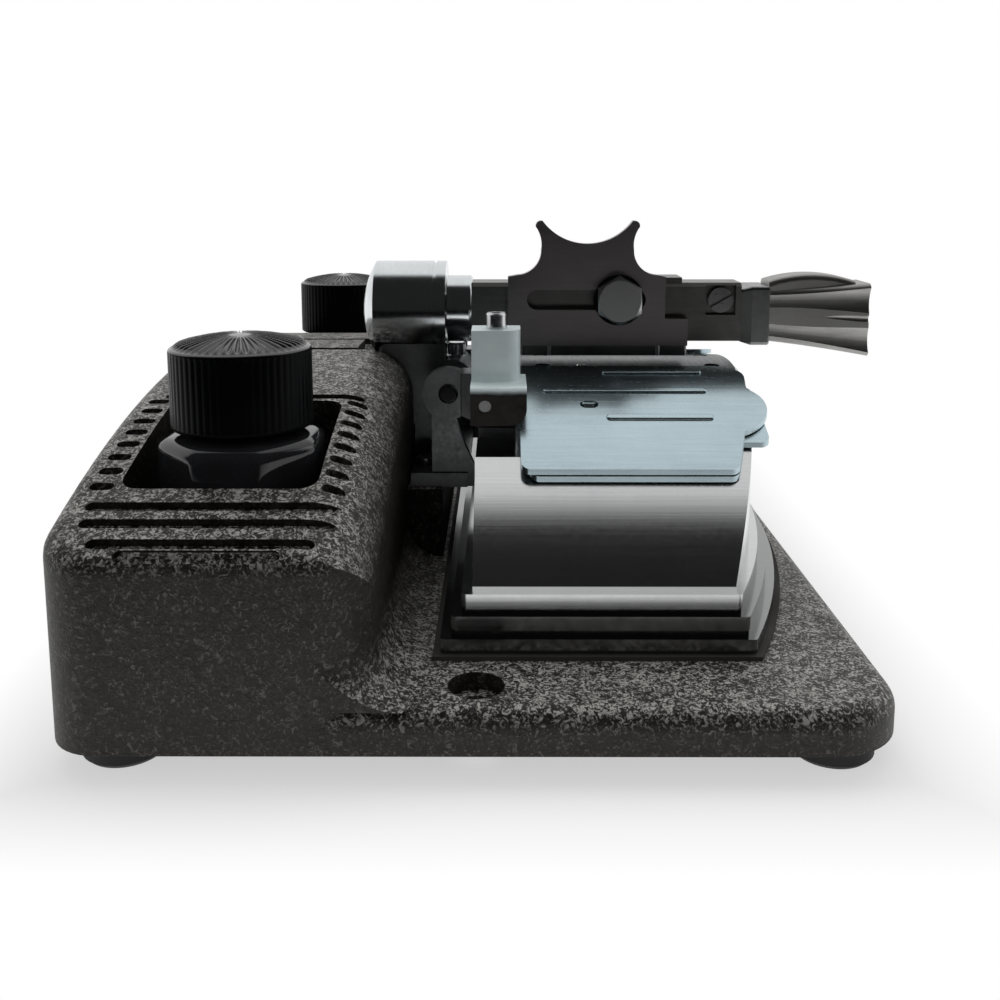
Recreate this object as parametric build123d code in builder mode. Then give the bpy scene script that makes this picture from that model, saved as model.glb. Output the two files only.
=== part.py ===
from build123d import *
import os
from math import asin, cos, radians, sin, sqrt

# A bench film splicer, in millimetres. The operator sits at +X and the film runs along Y,
# over an arched heated block. Two jaws, left (-Y) and right (+Y), hold the film's ends.
# A scraper hangs from an arm over the gap between them. Two bottles stand in the hump.

# ---- Driving dimensions ----

running_gap = 0.05        # radial clearance of a shaft in its bore
seat_gap = 0.3            # clearance between bodies that move past each other
sides = ((-1, "left"), (1, "right"))

# Base casting
base_width = 242.0
hump_front = -34.1        # X of the hump's front wall
slab_reach = 109.1        # from the hump's front wall to the slab's front edge
foot_height = 5.8
slab_thickness = 9.2
slab_corner = 17.0
slab_edge = 4.5
hump_length = 66.6
hump_rise = 55.4          # top of the hump above the slab, at the middle
hump_arch = 315.0         # radius of the hump's top, seen along X
hump_front_round = 14.0
hump_corner = 12.0        # radius of its corners in plan
hump_edge = 5.0           # rounding of its top edge at the back and the ends
cove_radius = 10.0        # hollow fillet between the hump and the slab
casting_wall = 5.0
pedestal_half = 33.0
pedestal_rise = 19.5
post_seat_rise = 33.0

# Wells for the bottles, and the grooves and slots round them
bottle_inset = 42.0       # from the base's end to the bottle's axis
well_gap_x = 2.9
well_gap_y = 2.1
well_shift = 1.0          # the well's middle is this much behind the bottle's
well_corner = 4.0
well_floor = 3.4
groove_width = 2.9
groove_depth = 1.8
end_grooves = ((15.7, 53.4), (10.4, 52.2), (4.6, 45.3))   # distance from the base's end, length
edge_groove_length = 32.7  # of the groove on the end's rounded edge
edge_groove_lean = 45.0   # degrees, outwards
cross_groove_length = 50.0
cross_groove_gap = 1.2    # between the well and the groove beside it
middle_groove_y = 9.5
slot_count = 8
slot_spacing = 5.6
slot_width = 2.6
slot_length = 5.2
slot_offset = 3.5         # from the well's edge to the middle of a side slot
slot_depth = 2.4

# Holes in the slab, the cover below it and the feet
base_hole_x = -13.2
base_hole_inset = 11.8    # from the base's end
base_hole_radius = 3.25
base_hole_mouth = 6.0
base_hole_mouth_depth = 4.0
cover_margin_back = 7.0
cover_margin_front = 12.0
cover_margin_end = 31.0
cover_lip = 2.0
cover_corner = 4.0
cover_thickness = 1.5
cover_screw_radius = 1.6
cover_screw_head = 1.6
cover_screw_bite = 2.6
cover_boss = 10.0
underside_depth = 5.0
wire_passage = 40.0
foot_radius = 9.0
foot_inset = 13.5
foot_chamfer = 1.0
foot_screw_radius = 2.0
foot_screw_head = 4.2
foot_screw_head_height = 1.8
foot_screw_sink = 3.4
foot_screw_bite = 6.0
grommet_y = 25.0
grommet_rise = 14.0
grommet_radius = 6.5
grommet_neck = 5.0
grommet_bore = 3.3
grommet_flange = 1.5

# Film block, its stepped flange and its gasket
flange_left = -21.5       # X of the flange's edge towards the hump
flange_reach = 69.0       # X of the flange's rounded side, at the middle
flange_side_radius = 235.0
flange_half_width = 96.4
step_height = 4.25
step_inset = 2.3
step_count = 3
block_corner = 1.2
block_radius = 123.0
block_apex = 49.0         # top of the arch above the slab
relief_depth = 14.0       # hinge relief, below the arch's top
relief_gap = 0.6          # between the relief's wall and the hinge blocks
gasket_margin = 1.6
gasket_height = 1.0
block_screw_x = (-6.0, 40.0)
block_screw_y = 62.0
block_screw_radius = 2.5
block_screw_head = 4.5
block_screw_head_height = 2.4
block_screw_bite = 9.0
heater_x = 26.0
heater_drop = 24.0        # heater's axis below the arch's top
heater_radius = 4.76
heater_start = -18.0
heater_end = 69.0
heater_end_gap = 8.0
thermostat_x = 2.0
thermostat_radius = 7.6
thermostat_height = 6.0
wire_hole_radius = 4.0
lead_radius = 0.9
lead_spacing = 3.0
terminal_offset = 8.0     # in front of the hump's middle
terminal_length = 16.0
terminal_width = 30.0
terminal_height = 12.0
terminal_screws = 3
terminal_screw_radius = 2.0

# Film plates, on the same arch
plate_left = -3.2
plate_reach = 61.6
plate_side_radius = 193.0
plate_inner = 15.5        # distance of a jaw's inner edge from the middle
plate_outer = 65.0
plate_thickness = 1.2
plate_gap = 0.35
plate_corner = 2.5
plate_inner_corner = 8.0
tail_left = -7.8
tail_outer = 30.6
film_plate_left = -1.0
tab_middle = 41.0
tab_reach = 62.3
tab_radius = 12.0
lower_tab_half = 13.2
lower_tab_reach = 60.6
rib_rows = ((21.5, 20.3, 48.5), (34.0, 3.2, 47.9), (47.0, 19.3, 47.4))   # Y, start X, end X
rib_radius = 1.15
rib_proud = 0.55
film_pin_x = 15.3
film_pin_inner = 12.5
film_pin_outer = 41.0     # six perforations of 4.75 further out
film_pin_length = 2.7
film_pin_width = 1.85
film_pin_rise = 1.5
pin_slot_length = 4.9
pin_slot_width = 3.5
tongue_left = -9.6
tongue_inner = 33.0
tongue_outer = 47.0
bed_gap = 0.3
bed_screw_x = (4.0, 54.0)
bed_screw_y = 9.0
bed_screw_radius = 1.25
bed_screw_head = 2.2
bed_screw_bite = 6.0
plate_screw_x = -5.8
plate_screw_y = (20.0, 27.0)
plate_screw_head = 1.5
plate_screw_radius = 0.8
plate_screw_length = 5.0

# Hinges
main_axis_x = -22.8
main_axis_rise = 45.8     # above the slab
shaft_radius = 2.0
shaft_half_length = 30.0
shaft_cap_radius = 2.7
shaft_cap_length = 0.9
bracket_back = -33.3
bracket_front = -15.6
bracket_foot_front = -17.5
bracket_foot_thickness = 4.0
bracket_screw_radius = 1.6
bracket_screw_head = 2.8
bracket_screw_head_height = 2.2
bracket_screw_bite = 7.0
bracket_screw_x = -29.8
post_bolt_rise = 6.0
bracket_screw_y = 21.0
post_screw_y = 7.0
ear_radius = 7.3
ear_thickness = 3.5
ear_flat = 3.4
neck_half = 4.6
barrel_radius = 5.2
barrel_inner = 17.0
hinge_pin_x = -12.3
hinge_pin_rise = 46.4
hinge_pin_radius = 1.6
lug_radius = 4.2
jaw_floor_gap = 1.3
beam_left = -14.4
beam_right = -4.1
knuckle_inner = 31.2
knuckle_outer = 50.0
knuckle_left = -16.1
knuckle_right = -1.5
knuckle_drop = 5.0        # knuckle's underside below its pin
knuckle_height = 10.2
knuckle_low_round = 4.5
knuckle_shelf_round = 2.4
upright_right = -3.0
upright_outer = 42.0
upright_height = 13.5
upright_round = 4.0
clamp_screw_x = -6.9
clamp_screw_y = (36.5, 44.0)
clamp_screw_radius = 1.1
tension_screw_x = -9.4
tension_screw_radius = 2.8
tension_screw_rise = 4.2
tension_screw_shank = 1.5
tension_screw_bite = 8.0

# Arm post, bearing housing and scraper arm
arm_y = 0.8
arm_rise = 66.0           # arm's axis above the slab
post_back = -44.7
post_front = -24.7
post_width = 22.0
post_boss_radius = 6.3
post_web = 5.0
seat_margin = 1.0
housing_radius = 14.4
housing_back = -49.6
housing_front = -24.5
housing_dome = 4.1
housing_ring = 2.8
housing_ring_depth = 0.5
bush_length = 6.0
bush_wall = 2.0
arm_shaft_radius = 6.0
collar_radius = 10.0
collar_length = 7.5
bar_drop = 9.0            # bar's underside below the arm's axis
bar_height = 17.3
bar_width = 13.0
bar_end = 62.9
bar_chamfer = 1.1
bar_pad_start = 39.9      # raised pad on top of the bar
bar_pad_end = 45.4
bar_pad_rise = 1.5
ferrule_taper = 3.0
ferrule_end = 71.3
ferrule_proud = 0.9
handle_end = 100.7
handle_height = 21.7
handle_width = 17.0
handle_neck_height = 15.7
handle_neck_width = 12.6
handle_drop = 2.65        # handle's middle below the arm's axis at its end
handle_neck_drop = 1.45
handle_round = 2.5
handle_hollow = 0.5       # of the end face
crest_rise = 2.4
crest_width = 11.0
crest_end_inset = 3.8
crest_round = 1.8
flutes = ((-0.29, 9.0, 0.25, 1.0), (0.29, 9.0, 0.25, 1.0), (0.02, 1.2, -0.3, 0.6))
# each flute: its height as a share of the face's, its radius, its depth at the neck and at the end
handle_screw_x = 56.8
handle_screw_drop = -3.2
handle_screw_radius = 3.7
handle_screw_head = 1.5
handle_screw_length = 8.0
handle_screw_slot = 0.9
handle_recess = 8.8
stop_screw_radius = 2.75
stop_screw_shank = 1.8
stop_screw_bite = 3.0

# Scraper slide
slide_gap = 0.1           # sliding clearance on the bar's face
slide_thickness = 3.0
slide_back = -6.2
slide_front = 39.9
slide_bottom = 10.0       # below the arm's axis
slide_toe_top = 2.0
slide_toe_front = 46.7
shoulder_rise = 10.9
shoulder_reach = 20.4     # from the slide's middle to where a shoulder starts to rise
waist_rise = 18.2
waist_reach = 13.5
horn_rise = 26.6
horn_reach = 15.1
horn_side_rise = 24.9
horn_tip_reach = 13.1
dip_rise = 20.0
slide_middle = 17.0
slide_slot_back = -0.6
slide_slot_front = 34.2
slide_slot_rise = 3.55    # slot's middle above the arm's axis
slide_slot_height = 5.85
bolt_x = 26.3
bolt_flats = 12.6
bolt_head = 3.4
bolt_bevel = 60.0         # degrees, of the head's corners
bolt_bite = 8.0
bolt_shank_gap = 0.2
washer_radius = 7.4
washer_thickness = 0.5
foot_bar_back = -2.0
foot_bar_height = 3.0
foot_bar_front_y = 8.0
foot_bar_rear_y = 5.0
blade_thickness = 1.0
blade_depth = 2.0
blade_proud = 0.4
slide_screw_x = (6.0, 38.0)
slide_screw_radius = 0.9
slide_screw_bite = 4.0

# Bottles and caps
bottle_flats = 36.5
bottle_wall = 2.4
bottle_stand = 0.3        # clearance under a bottle that can be lifted
shoulder_z = 62.8
shoulder_bevel = 2.2
bottle_heel = 1.5
bottle_neck_radius = 10.5
bottle_mouth_radius = 8.0
cap_radius = 16.0
cap_bottom = 63.8
cap_height = 18.2
cap_dome = 2.5
cap_bore_depth = 14.5
liner_radius = 9.8
liner_thickness = 0.8
rod_radius = 1.5
rod_length = 50.0

# ---- Levels and places worked out from them ----

slab_bottom = foot_height
slab_top = slab_bottom + slab_thickness
half_width = base_width / 2
base_front = hump_front + slab_reach
base_back = hump_front - hump_length
hump_middle = hump_front - hump_length / 2
hump_top = slab_top + hump_rise
hump_centre_z = hump_top - hump_arch
pedestal_front = flange_left - gasket_margin - 1.2
pedestal_top = slab_top + pedestal_rise
post_seat = slab_top + post_seat_rise
block_bottom = slab_top + step_count * step_height
block_top = slab_top + block_apex
arch_z = block_top - block_radius
relief_floor = block_top - relief_depth
relief_right = knuckle_right + relief_gap
heater_z = block_top - heater_drop
film_plate_radius = block_radius + plate_gap
film_plate_top = film_plate_radius + plate_thickness
pressure_radius = film_plate_top + plate_gap
pressure_top = pressure_radius + plate_thickness
main_axis_z = slab_top + main_axis_rise
hinge_pin_z = slab_top + hinge_pin_rise
arm_z = slab_top + arm_rise
bottle_y = half_width - bottle_inset
base_hole_y = half_width - base_hole_inset
cover_half = half_width - cover_margin_end
well_middle = hump_middle - well_shift
well_x = bottle_flats + 2 * well_gap_x
well_y = bottle_flats + 2 * well_gap_y
well_bottom = slab_bottom + well_floor
bay_half = bottle_y - well_y / 2 - casting_wall
bay_front = hump_front - casting_wall
bay_top = post_seat - casting_wall
cover_left = base_back + cover_margin_back
cover_right = base_front - cover_margin_front
underside_left = hump_front + casting_wall
grommet_z = slab_bottom + grommet_rise
ear_outer = shaft_half_length
ear_inner = ear_outer - ear_thickness
bracket_top = pedestal_top + bracket_foot_thickness
foot_places = [(x, s * (half_width - foot_inset)) for s in (-1, 1)
               for x in (base_back + foot_inset, base_front - foot_inset)]
cover_screw_places = [(x, s * y) for s in (-1, 1) for x, y in (
    (cover_right - cover_boss / 2, cover_half - cover_boss / 2),
    ((bay_front + underside_left) / 2, cover_half - cover_boss / 2),
    (hump_middle, bay_half + casting_wall / 2))]
block_screw_places = [(x, s * block_screw_y) for x in block_screw_x for s in (-1, 1)]
bracket_screw_places = [(bracket_screw_x, s * bracket_screw_y) for s in (-1, 1)]
post_screw_places = [(bracket_screw_x, arm_y + s * post_screw_y) for s in (-1, 1)]
wire_hole_y = heater_start - heater_end_gap / 2
bed_screw_places = [(x, s * bed_screw_y) for x in bed_screw_x for s in (-1, 1)]
bar_face = arm_y - bar_width / 2
slide_rear = bar_face - slide_gap
slide_face = slide_rear - slide_thickness
washer_face = slide_face - slide_gap - washer_thickness
bolt_z = arm_z + slide_slot_rise


def save(piece, name):
    """Label a finished piece and write it as its own file."""
    piece.part.label = name
    export_step(piece.part, f"parts/{name}.step")


def arch_height(y, radius):
    """Height of the arch of the given radius, at the distance y from the middle."""
    return arch_z + sqrt(radius ** 2 - y ** 2)


def side_x(y, reach, radius):
    """X of a rounded side that reaches furthest at the middle."""
    return reach - radius + sqrt(radius ** 2 - y ** 2)


def facing_left(y):
    """A plane square to the film's run at the given Y: its x is X, its y is Z, and it faces -Y."""
    return Plane(origin=(0, y, 0), x_dir=(1, 0, 0), z_dir=(0, -1, 0))


def span(side, inner, outer):
    """The plane at the outer end of a stretch on one side, and the amount to extrude inwards."""
    return facing_left(side * outer), side * (outer - inner)


def arch_ring(inner, outer, start):
    """The band between two radii of the arch, drawn square to X."""
    with BuildSketch(Plane.YZ.offset(start)) as band:
        with Locations((0, arch_z)):
            Circle(outer)
            Circle(inner, mode=Mode.SUBTRACT)
    return band.sketch


def block_plan(inset):
    """The block's plan in the open sketch: three straight sides and a rounded one, drawn in."""
    half = flange_half_width - inset
    left = flange_left + inset
    reach = flange_reach - inset
    corner = side_x(half, reach, flange_side_radius)
    with BuildLine() as plan:
        Polyline((corner, half), (left, half), (left, -half), (corner, -half))
        ThreePointArc((corner, -half), (reach, 0), (corner, half))
    make_face(plan.edges())


os.makedirs("parts", exist_ok=True)

# ---- Base casting ----

with BuildPart() as hump:
    with BuildSketch(Plane.XY.offset(slab_bottom)):
        with Locations((hump_middle, 0)):
            RectangleRounded(hump_length, base_width, hump_corner)
    extrude(amount=slab_thickness + hump_rise)
    with BuildSketch(Plane.YZ.offset(base_back)):
        with Locations((0, hump_centre_z)):
            Circle(hump_arch)
    extrude(amount=hump_length, mode=Mode.INTERSECT)
    fillet([e for e in edges().filter_by(Axis.Z, reverse=True) if e.center().Z > slab_top], hump_edge)
    # The front edge's larger rounding
    with BuildSketch(Plane.XZ):
        clear = hump_front_round + hump_edge
        with Locations((hump_front - hump_front_round + clear / 2, hump_top - hump_front_round + clear / 2)):
            Rectangle(clear, clear)
        with Locations((hump_front - hump_front_round, hump_top - hump_front_round)):
            Circle(hump_front_round, mode=Mode.SUBTRACT)
    revolve(axis=Axis((0, 0, hump_centre_z), (1, 0, 0)), mode=Mode.SUBTRACT)

with BuildPart() as cove:
    with BuildSketch(facing_left(half_width - hump_corner)):
        with Locations((hump_front + cove_radius / 2, slab_top + cove_radius / 2)):
            Rectangle(cove_radius, cove_radius)
        with Locations((hump_front + cove_radius, slab_top + cove_radius)):
            Circle(cove_radius, mode=Mode.SUBTRACT)
    extrude(amount=2 * (half_width - hump_corner))
    for s in (-1, 1):
        corner = Axis((hump_front - hump_corner, s * (half_width - hump_corner), 0), (0, 0, s))
        with BuildSketch(facing_left(s * (half_width - hump_corner))):
            with Locations((hump_front + cove_radius / 2, slab_top + cove_radius / 2)):
                Rectangle(cove_radius, cove_radius)
            with Locations((hump_front + cove_radius, slab_top + cove_radius)):
                Circle(cove_radius, mode=Mode.SUBTRACT)
        revolve(axis=corner, revolution_arc=90)
    with BuildSketch(Plane.XY.offset(slab_top)):
        with Locations((hump_front, 0)):
            Rectangle(2 * hump_length, base_width)
    extrude(amount=hump_top, mode=Mode.INTERSECT)

with BuildPart() as slot_cutter:
    with BuildSketch(Plane.XY.offset(slab_top)):
        for s in (-1, 1):
            for edge_side in (-1, 1):
                with Locations((well_middle + edge_side * (well_x / 2 + slot_offset), s * bottle_y)):
                    with GridLocations(1, slot_spacing, 1, slot_count):
                        SlotOverall(slot_length, slot_width)
    extrude(amount=hump_rise + 1)
    with BuildSketch(Plane.YZ.offset(base_back)):
        with Locations((0, hump_centre_z)):
            Circle(hump_arch - slot_depth)
    extrude(amount=hump_length, mode=Mode.SUBTRACT)

with BuildPart() as base_casting:
    with BuildSketch(Plane.XY.offset(slab_bottom)):
        with Locations(((hump_middle + base_front) / 2, 0)):
            Rectangle(base_front - hump_middle, base_width)
        fillet(vertices().group_by(Axis.X)[-1], slab_corner)
    extrude(amount=slab_thickness)
    rim = edges().group_by(Axis.Z)[-1]
    fillet([e for e in rim if e.center().X > hump_middle + 0.01], slab_edge)
    add(cove.part)
    add(hump.part)
    # Pedestal for the hinge bracket, in the valley between the hump and the block
    with BuildSketch(Plane.XY.offset(slab_top)):
        with Locations(((hump_front - 1 + pedestal_front) / 2, 0)):
            Rectangle(pedestal_front - hump_front + 1, 2 * pedestal_half)
    extrude(amount=pedestal_rise)
    # Seat for the arm post
    with BuildSketch(Plane.XY.offset(post_seat)):
        with Locations(((post_back - seat_margin + hump_front) / 2, arm_y)):
            Rectangle(hump_front - post_back + seat_margin, post_width + 2 * seat_margin)
    extrude(amount=hump_top, mode=Mode.SUBTRACT)
    # Trough under the bearing housing
    with BuildSketch(Plane.YZ.offset(housing_back - seat_margin)):
        with Locations((arm_y, arm_z)):
            Circle(housing_radius + seat_gap)
    extrude(amount=hump_front - housing_back + seat_margin, mode=Mode.SUBTRACT)
    # Wells
    with BuildSketch(Plane.XY.offset(well_bottom)):
        with Locations((well_middle, -bottle_y), (well_middle, bottle_y)):
            RectangleRounded(well_x, well_y, well_corner)
    extrude(amount=hump_top, mode=Mode.SUBTRACT)
    # Grooves along X: at the ends, beside the wells' inner walls and near the middle of the hump
    grooves = [(half_width - inset, length) for inset, length in end_grooves]
    grooves.append((bottle_y - well_y / 2 - cross_groove_gap - groove_width / 2, cross_groove_length))
    grooves.append((middle_groove_y, cross_groove_length))
    for y, length in grooves:
        for s in (-1, 1):
            lean = asin(y / hump_arch)
            top = hump_centre_z + hump_arch * cos(lean)
            tilt = Plane(origin=(hump_middle, s * y, top), x_dir=(1, 0, 0),
                         z_dir=(0, s * sin(lean), cos(lean)))
            with BuildSketch(tilt.offset(-groove_depth)):
                SlotOverall(length, groove_width)
            extrude(amount=3 * groove_depth, mode=Mode.SUBTRACT)
    # One more groove on the rounded edge of each end
    edge_middle = half_width - hump_edge
    edge_low = hump_centre_z + sqrt(hump_arch ** 2 - edge_middle ** 2) - hump_edge
    lean = radians(edge_groove_lean)
    for s in (-1, 1):
        spot = (hump_middle, s * (edge_middle + hump_edge * sin(lean)), edge_low + hump_edge * cos(lean))
        tilt = Plane(origin=spot, x_dir=(1, 0, 0), z_dir=(0, s * sin(lean), cos(lean)))
        with BuildSketch(tilt.offset(-groove_depth)):
            SlotOverall(edge_groove_length, groove_width)
        extrude(amount=2 * groove_depth, mode=Mode.SUBTRACT)
    # Short slots beside the wells
    add(slot_cutter.part, mode=Mode.SUBTRACT)
    # Underside: a shallow hollow, the seat of the cover, the wiring bay and the passage to it
    with BuildSketch(Plane.XY.offset(slab_bottom)):
        with Locations(((underside_left + cover_right - cover_boss) / 2, 0)):
            Rectangle(cover_right - cover_boss - underside_left, 2 * (cover_half - cover_lip))
    extrude(amount=underside_depth, mode=Mode.SUBTRACT)
    with BuildSketch(Plane.XY.offset(slab_bottom)):
        with Locations(((cover_left + cover_right) / 2, 0)):
            RectangleRounded(cover_right - cover_left, 2 * cover_half, cover_corner)
    extrude(amount=cover_thickness, mode=Mode.SUBTRACT)
    with BuildSketch(Plane.XY.offset(slab_bottom)):
        with Locations(((cover_left + cover_lip + bay_front) / 2, 0)):
            Rectangle(bay_front - cover_left - cover_lip, 2 * bay_half)
    extrude(amount=bay_top - slab_bottom, mode=Mode.SUBTRACT)
    with BuildSketch(Plane.XY.offset(slab_bottom)):
        with Locations(((bay_front + underside_left) / 2, 0)):
            Rectangle(underside_left - bay_front + 2, wire_passage)
    extrude(amount=underside_depth, mode=Mode.SUBTRACT)
    # Holes: the two that hold the machine down, then the wires', the screws' and the grommet's
    with Locations((base_hole_x, -base_hole_y, slab_top), (base_hole_x, base_hole_y, slab_top)):
        CounterBoreHole(base_hole_radius, base_hole_mouth, base_hole_mouth_depth)
    with BuildSketch(Plane.XY.offset(slab_bottom)):
        with Locations((heater_x, wire_hole_y)):
            Circle(wire_hole_radius)
        with Locations(*block_screw_places):
            Circle(block_screw_radius + running_gap)
    extrude(amount=slab_thickness, mode=Mode.SUBTRACT)
    with BuildSketch(Plane.XY.offset(slab_bottom)):
        with Locations(*foot_places):
            Circle(foot_screw_radius)
        with Locations(*cover_screw_places):
            Circle(cover_screw_radius)
    extrude(amount=foot_screw_bite, mode=Mode.SUBTRACT)
    with BuildSketch(Plane.XY.offset(pedestal_top)):
        with Locations(*bracket_screw_places, *post_screw_places):
            Circle(bracket_screw_radius)
    extrude(amount=-bracket_screw_bite, mode=Mode.SUBTRACT)
    with BuildSketch(Plane.YZ.offset(base_back)):
        with Locations((grommet_y, grommet_z)):
            Circle(grommet_neck)
    extrude(amount=cover_margin_back + cover_lip, mode=Mode.SUBTRACT)
    with BuildSketch(Plane.YZ.offset(base_back)):
        with Locations((grommet_y, grommet_z)):
            Circle(grommet_radius)
    extrude(amount=grommet_flange, mode=Mode.SUBTRACT)
save(base_casting, "base_casting")

# ---- Underside: cover, feet and their screws ----

with BuildPart() as bottom_cover:
    with BuildSketch(Plane.XY.offset(slab_bottom)):
        with Locations(((cover_left + cover_right) / 2, 0)):
            RectangleRounded(
                cover_right - cover_left - 2 * seat_gap, 2 * (cover_half - seat_gap), cover_corner
            )
        with Locations(*cover_screw_places):
            Circle(cover_screw_radius, mode=Mode.SUBTRACT)
    extrude(amount=cover_thickness)
save(bottom_cover, "bottom_cover")

with BuildPart() as cover_screws:
    with BuildSketch(Plane.XY.offset(slab_bottom)):
        with Locations(*cover_screw_places):
            Circle(2 * cover_screw_radius)
    extrude(amount=-cover_screw_head)
    with BuildSketch(Plane.XY.offset(slab_bottom)):
        with Locations(*cover_screw_places):
            Circle(cover_screw_radius)
    extrude(amount=cover_thickness + cover_screw_bite)
save(cover_screws, "cover_screws")

with BuildPart() as rubber_feet:
    with BuildSketch(Plane.XY):
        with Locations(*foot_places):
            Circle(foot_radius)
    extrude(amount=foot_height)
    chamfer(edges().group_by(Axis.Z)[0], foot_chamfer)
    with BuildSketch(Plane.XY):
        with Locations(*foot_places):
            Circle(foot_screw_head)
    extrude(amount=foot_screw_sink, mode=Mode.SUBTRACT)
    with BuildSketch(Plane.XY):
        with Locations(*foot_places):
            Circle(foot_screw_radius)
    extrude(amount=foot_height, mode=Mode.SUBTRACT)
save(rubber_feet, "rubber_feet")

with BuildPart() as foot_screws:
    with BuildSketch(Plane.XY.offset(foot_screw_sink)):
        with Locations(*foot_places):
            Circle(foot_screw_head - seat_gap)
    extrude(amount=-foot_screw_head_height)
    with BuildSketch(Plane.XY.offset(foot_screw_sink)):
        with Locations(*foot_places):
            Circle(foot_screw_radius)
    extrude(amount=slab_bottom + foot_screw_bite - foot_screw_sink)
save(foot_screws, "foot_screws")

with BuildPart() as cord_grommet:
    grommet_length = cover_margin_back + cover_lip
    with BuildSketch(Plane.YZ.offset(base_back)):
        with Locations((grommet_y, grommet_z)):
            Circle(grommet_neck)
    extrude(amount=grommet_length + grommet_flange)
    for start in (base_back, base_back + grommet_length):
        with BuildSketch(Plane.YZ.offset(start)):
            with Locations((grommet_y, grommet_z)):
                Circle(grommet_radius)
        extrude(amount=grommet_flange)
    with BuildSketch(Plane.YZ.offset(base_back)):
        with Locations((grommet_y, grommet_z)):
            Circle(grommet_bore)
    extrude(amount=grommet_length + grommet_flange, mode=Mode.SUBTRACT)
save(cord_grommet, "cord_grommet")

# ---- Film block on its gasket, with its heater ----

with BuildPart() as block_gasket:
    with BuildSketch(Plane.XY.offset(slab_top)):
        block_plan(-gasket_margin)
        with Locations(*block_screw_places):
            Circle(block_screw_radius + running_gap, mode=Mode.SUBTRACT)
        with Locations((heater_x, wire_hole_y)):
            Circle(wire_hole_radius, mode=Mode.SUBTRACT)
    extrude(amount=gasket_height)
save(block_gasket, "block_gasket")

with BuildPart() as film_block:
    with BuildSketch(Plane.YZ.offset(flange_left)):
        with Locations((0, arch_z)):
            Circle(block_radius)
    extrude(amount=flange_reach - flange_left)
    with BuildSketch(Plane.XY.offset(block_bottom)):
        block_plan(step_count * step_inset)
        fillet(vertices(), block_corner)
    extrude(amount=block_top, mode=Mode.INTERSECT)
    for step in range(step_count):
        floor = slab_top + max(gasket_height, step * step_height)
        with BuildSketch(Plane.XY.offset(floor)):
            block_plan(step * step_inset)
            fillet(vertices(), block_corner)
        extrude(amount=slab_top + (step + 1) * step_height - floor)
    # Hinge relief along the left of the arch
    with BuildSketch(Plane.XY.offset(relief_floor)):
        with Locations(((flange_left + relief_right) / 2, 0)):
            Rectangle(relief_right - flange_left, 2 * flange_half_width)
    extrude(amount=block_radius, mode=Mode.SUBTRACT)
    # Heater bore, open at the right end of the arch, and the wires' way down from it
    with BuildSketch(facing_left(block_radius)):
        with Locations((heater_x, heater_z)):
            Circle(heater_radius + running_gap)
    extrude(amount=block_radius - heater_start + heater_end_gap, mode=Mode.SUBTRACT)
    with BuildSketch(Plane.XY.offset(slab_top)):
        with Locations((heater_x, wire_hole_y)):
            Circle(wire_hole_radius)
    extrude(amount=heater_z - slab_top, mode=Mode.SUBTRACT)
    with BuildSketch(Plane.XY.offset(slab_top)):
        with Locations((thermostat_x, 0)):
            Circle(thermostat_radius + seat_gap)
        with Locations(*block_screw_places):
            Circle(block_screw_radius)
    extrude(amount=max(block_screw_bite, thermostat_height + gasket_height + seat_gap), mode=Mode.SUBTRACT)
    with BuildSketch(Plane.XY.offset(block_top)):
        with Locations(*bed_screw_places):
            Circle(bed_screw_radius)
    extrude(amount=-bed_screw_bite, mode=Mode.SUBTRACT)
save(film_block, "film_block")

with BuildPart() as block_screws:
    under_slab = slab_bottom + underside_depth
    with BuildSketch(Plane.XY.offset(under_slab)):
        with Locations(*block_screw_places):
            Circle(block_screw_head)
    extrude(amount=-block_screw_head_height)
    with BuildSketch(Plane.XY.offset(under_slab)):
        with Locations(*block_screw_places):
            Circle(block_screw_radius)
    extrude(amount=slab_top + block_screw_bite - under_slab)
save(block_screws, "block_screws")

with BuildPart() as heater_cartridge:
    with BuildSketch(facing_left(heater_end)):
        with Locations((heater_x, heater_z)):
            Circle(heater_radius)
    extrude(amount=heater_end - heater_start)
save(heater_cartridge, "heater_cartridge")

with BuildPart() as thermostat:
    with BuildSketch(Plane.XY.offset(slab_top + gasket_height)):
        with Locations((thermostat_x, 0)):
            Circle(thermostat_radius)
    extrude(amount=thermostat_height)
    chamfer(edges().group_by(Axis.Z)[-1], 1)
save(thermostat, "thermostat")

terminal_x = hump_middle + terminal_offset
cover_top = slab_bottom + cover_thickness

with BuildPart() as terminal_block:
    with BuildSketch(Plane.XY.offset(cover_top)):
        with Locations((terminal_x, 0)):
            Rectangle(terminal_length, terminal_width)
    extrude(amount=terminal_height)
    with BuildSketch(Plane.XY.offset(cover_top + terminal_height)):
        with Locations((terminal_x, 0)):
            with GridLocations(terminal_length / 2, terminal_width / terminal_screws, 2, terminal_screws):
                Circle(terminal_screw_radius)
    extrude(amount=-terminal_height / 3, mode=Mode.SUBTRACT)
save(terminal_block, "terminal_block")

with BuildPart() as heater_leads:
    low = slab_bottom + underside_depth - 1.6 * lead_radius
    entry = terminal_x + terminal_length / 2
    for s in (-1, 1):
        x = heater_x + s * lead_spacing / 2
        drop_y = wire_hole_y + s * lead_spacing / 2
        with BuildLine():
            route = FilletPolyline(
                (x, heater_start, heater_z), (x, drop_y, heater_z), (x, drop_y, low),
                (entry + seat_gap, s * lead_spacing / 2, low), radius=1.4 * lead_radius
            )
        with BuildSketch(Plane(origin=route @ 0, z_dir=route % 0)):
            Circle(lead_radius)
        sweep(path=route)
save(heater_leads, "heater_leads")

# ---- Centre bed between the jaws ----

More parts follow.
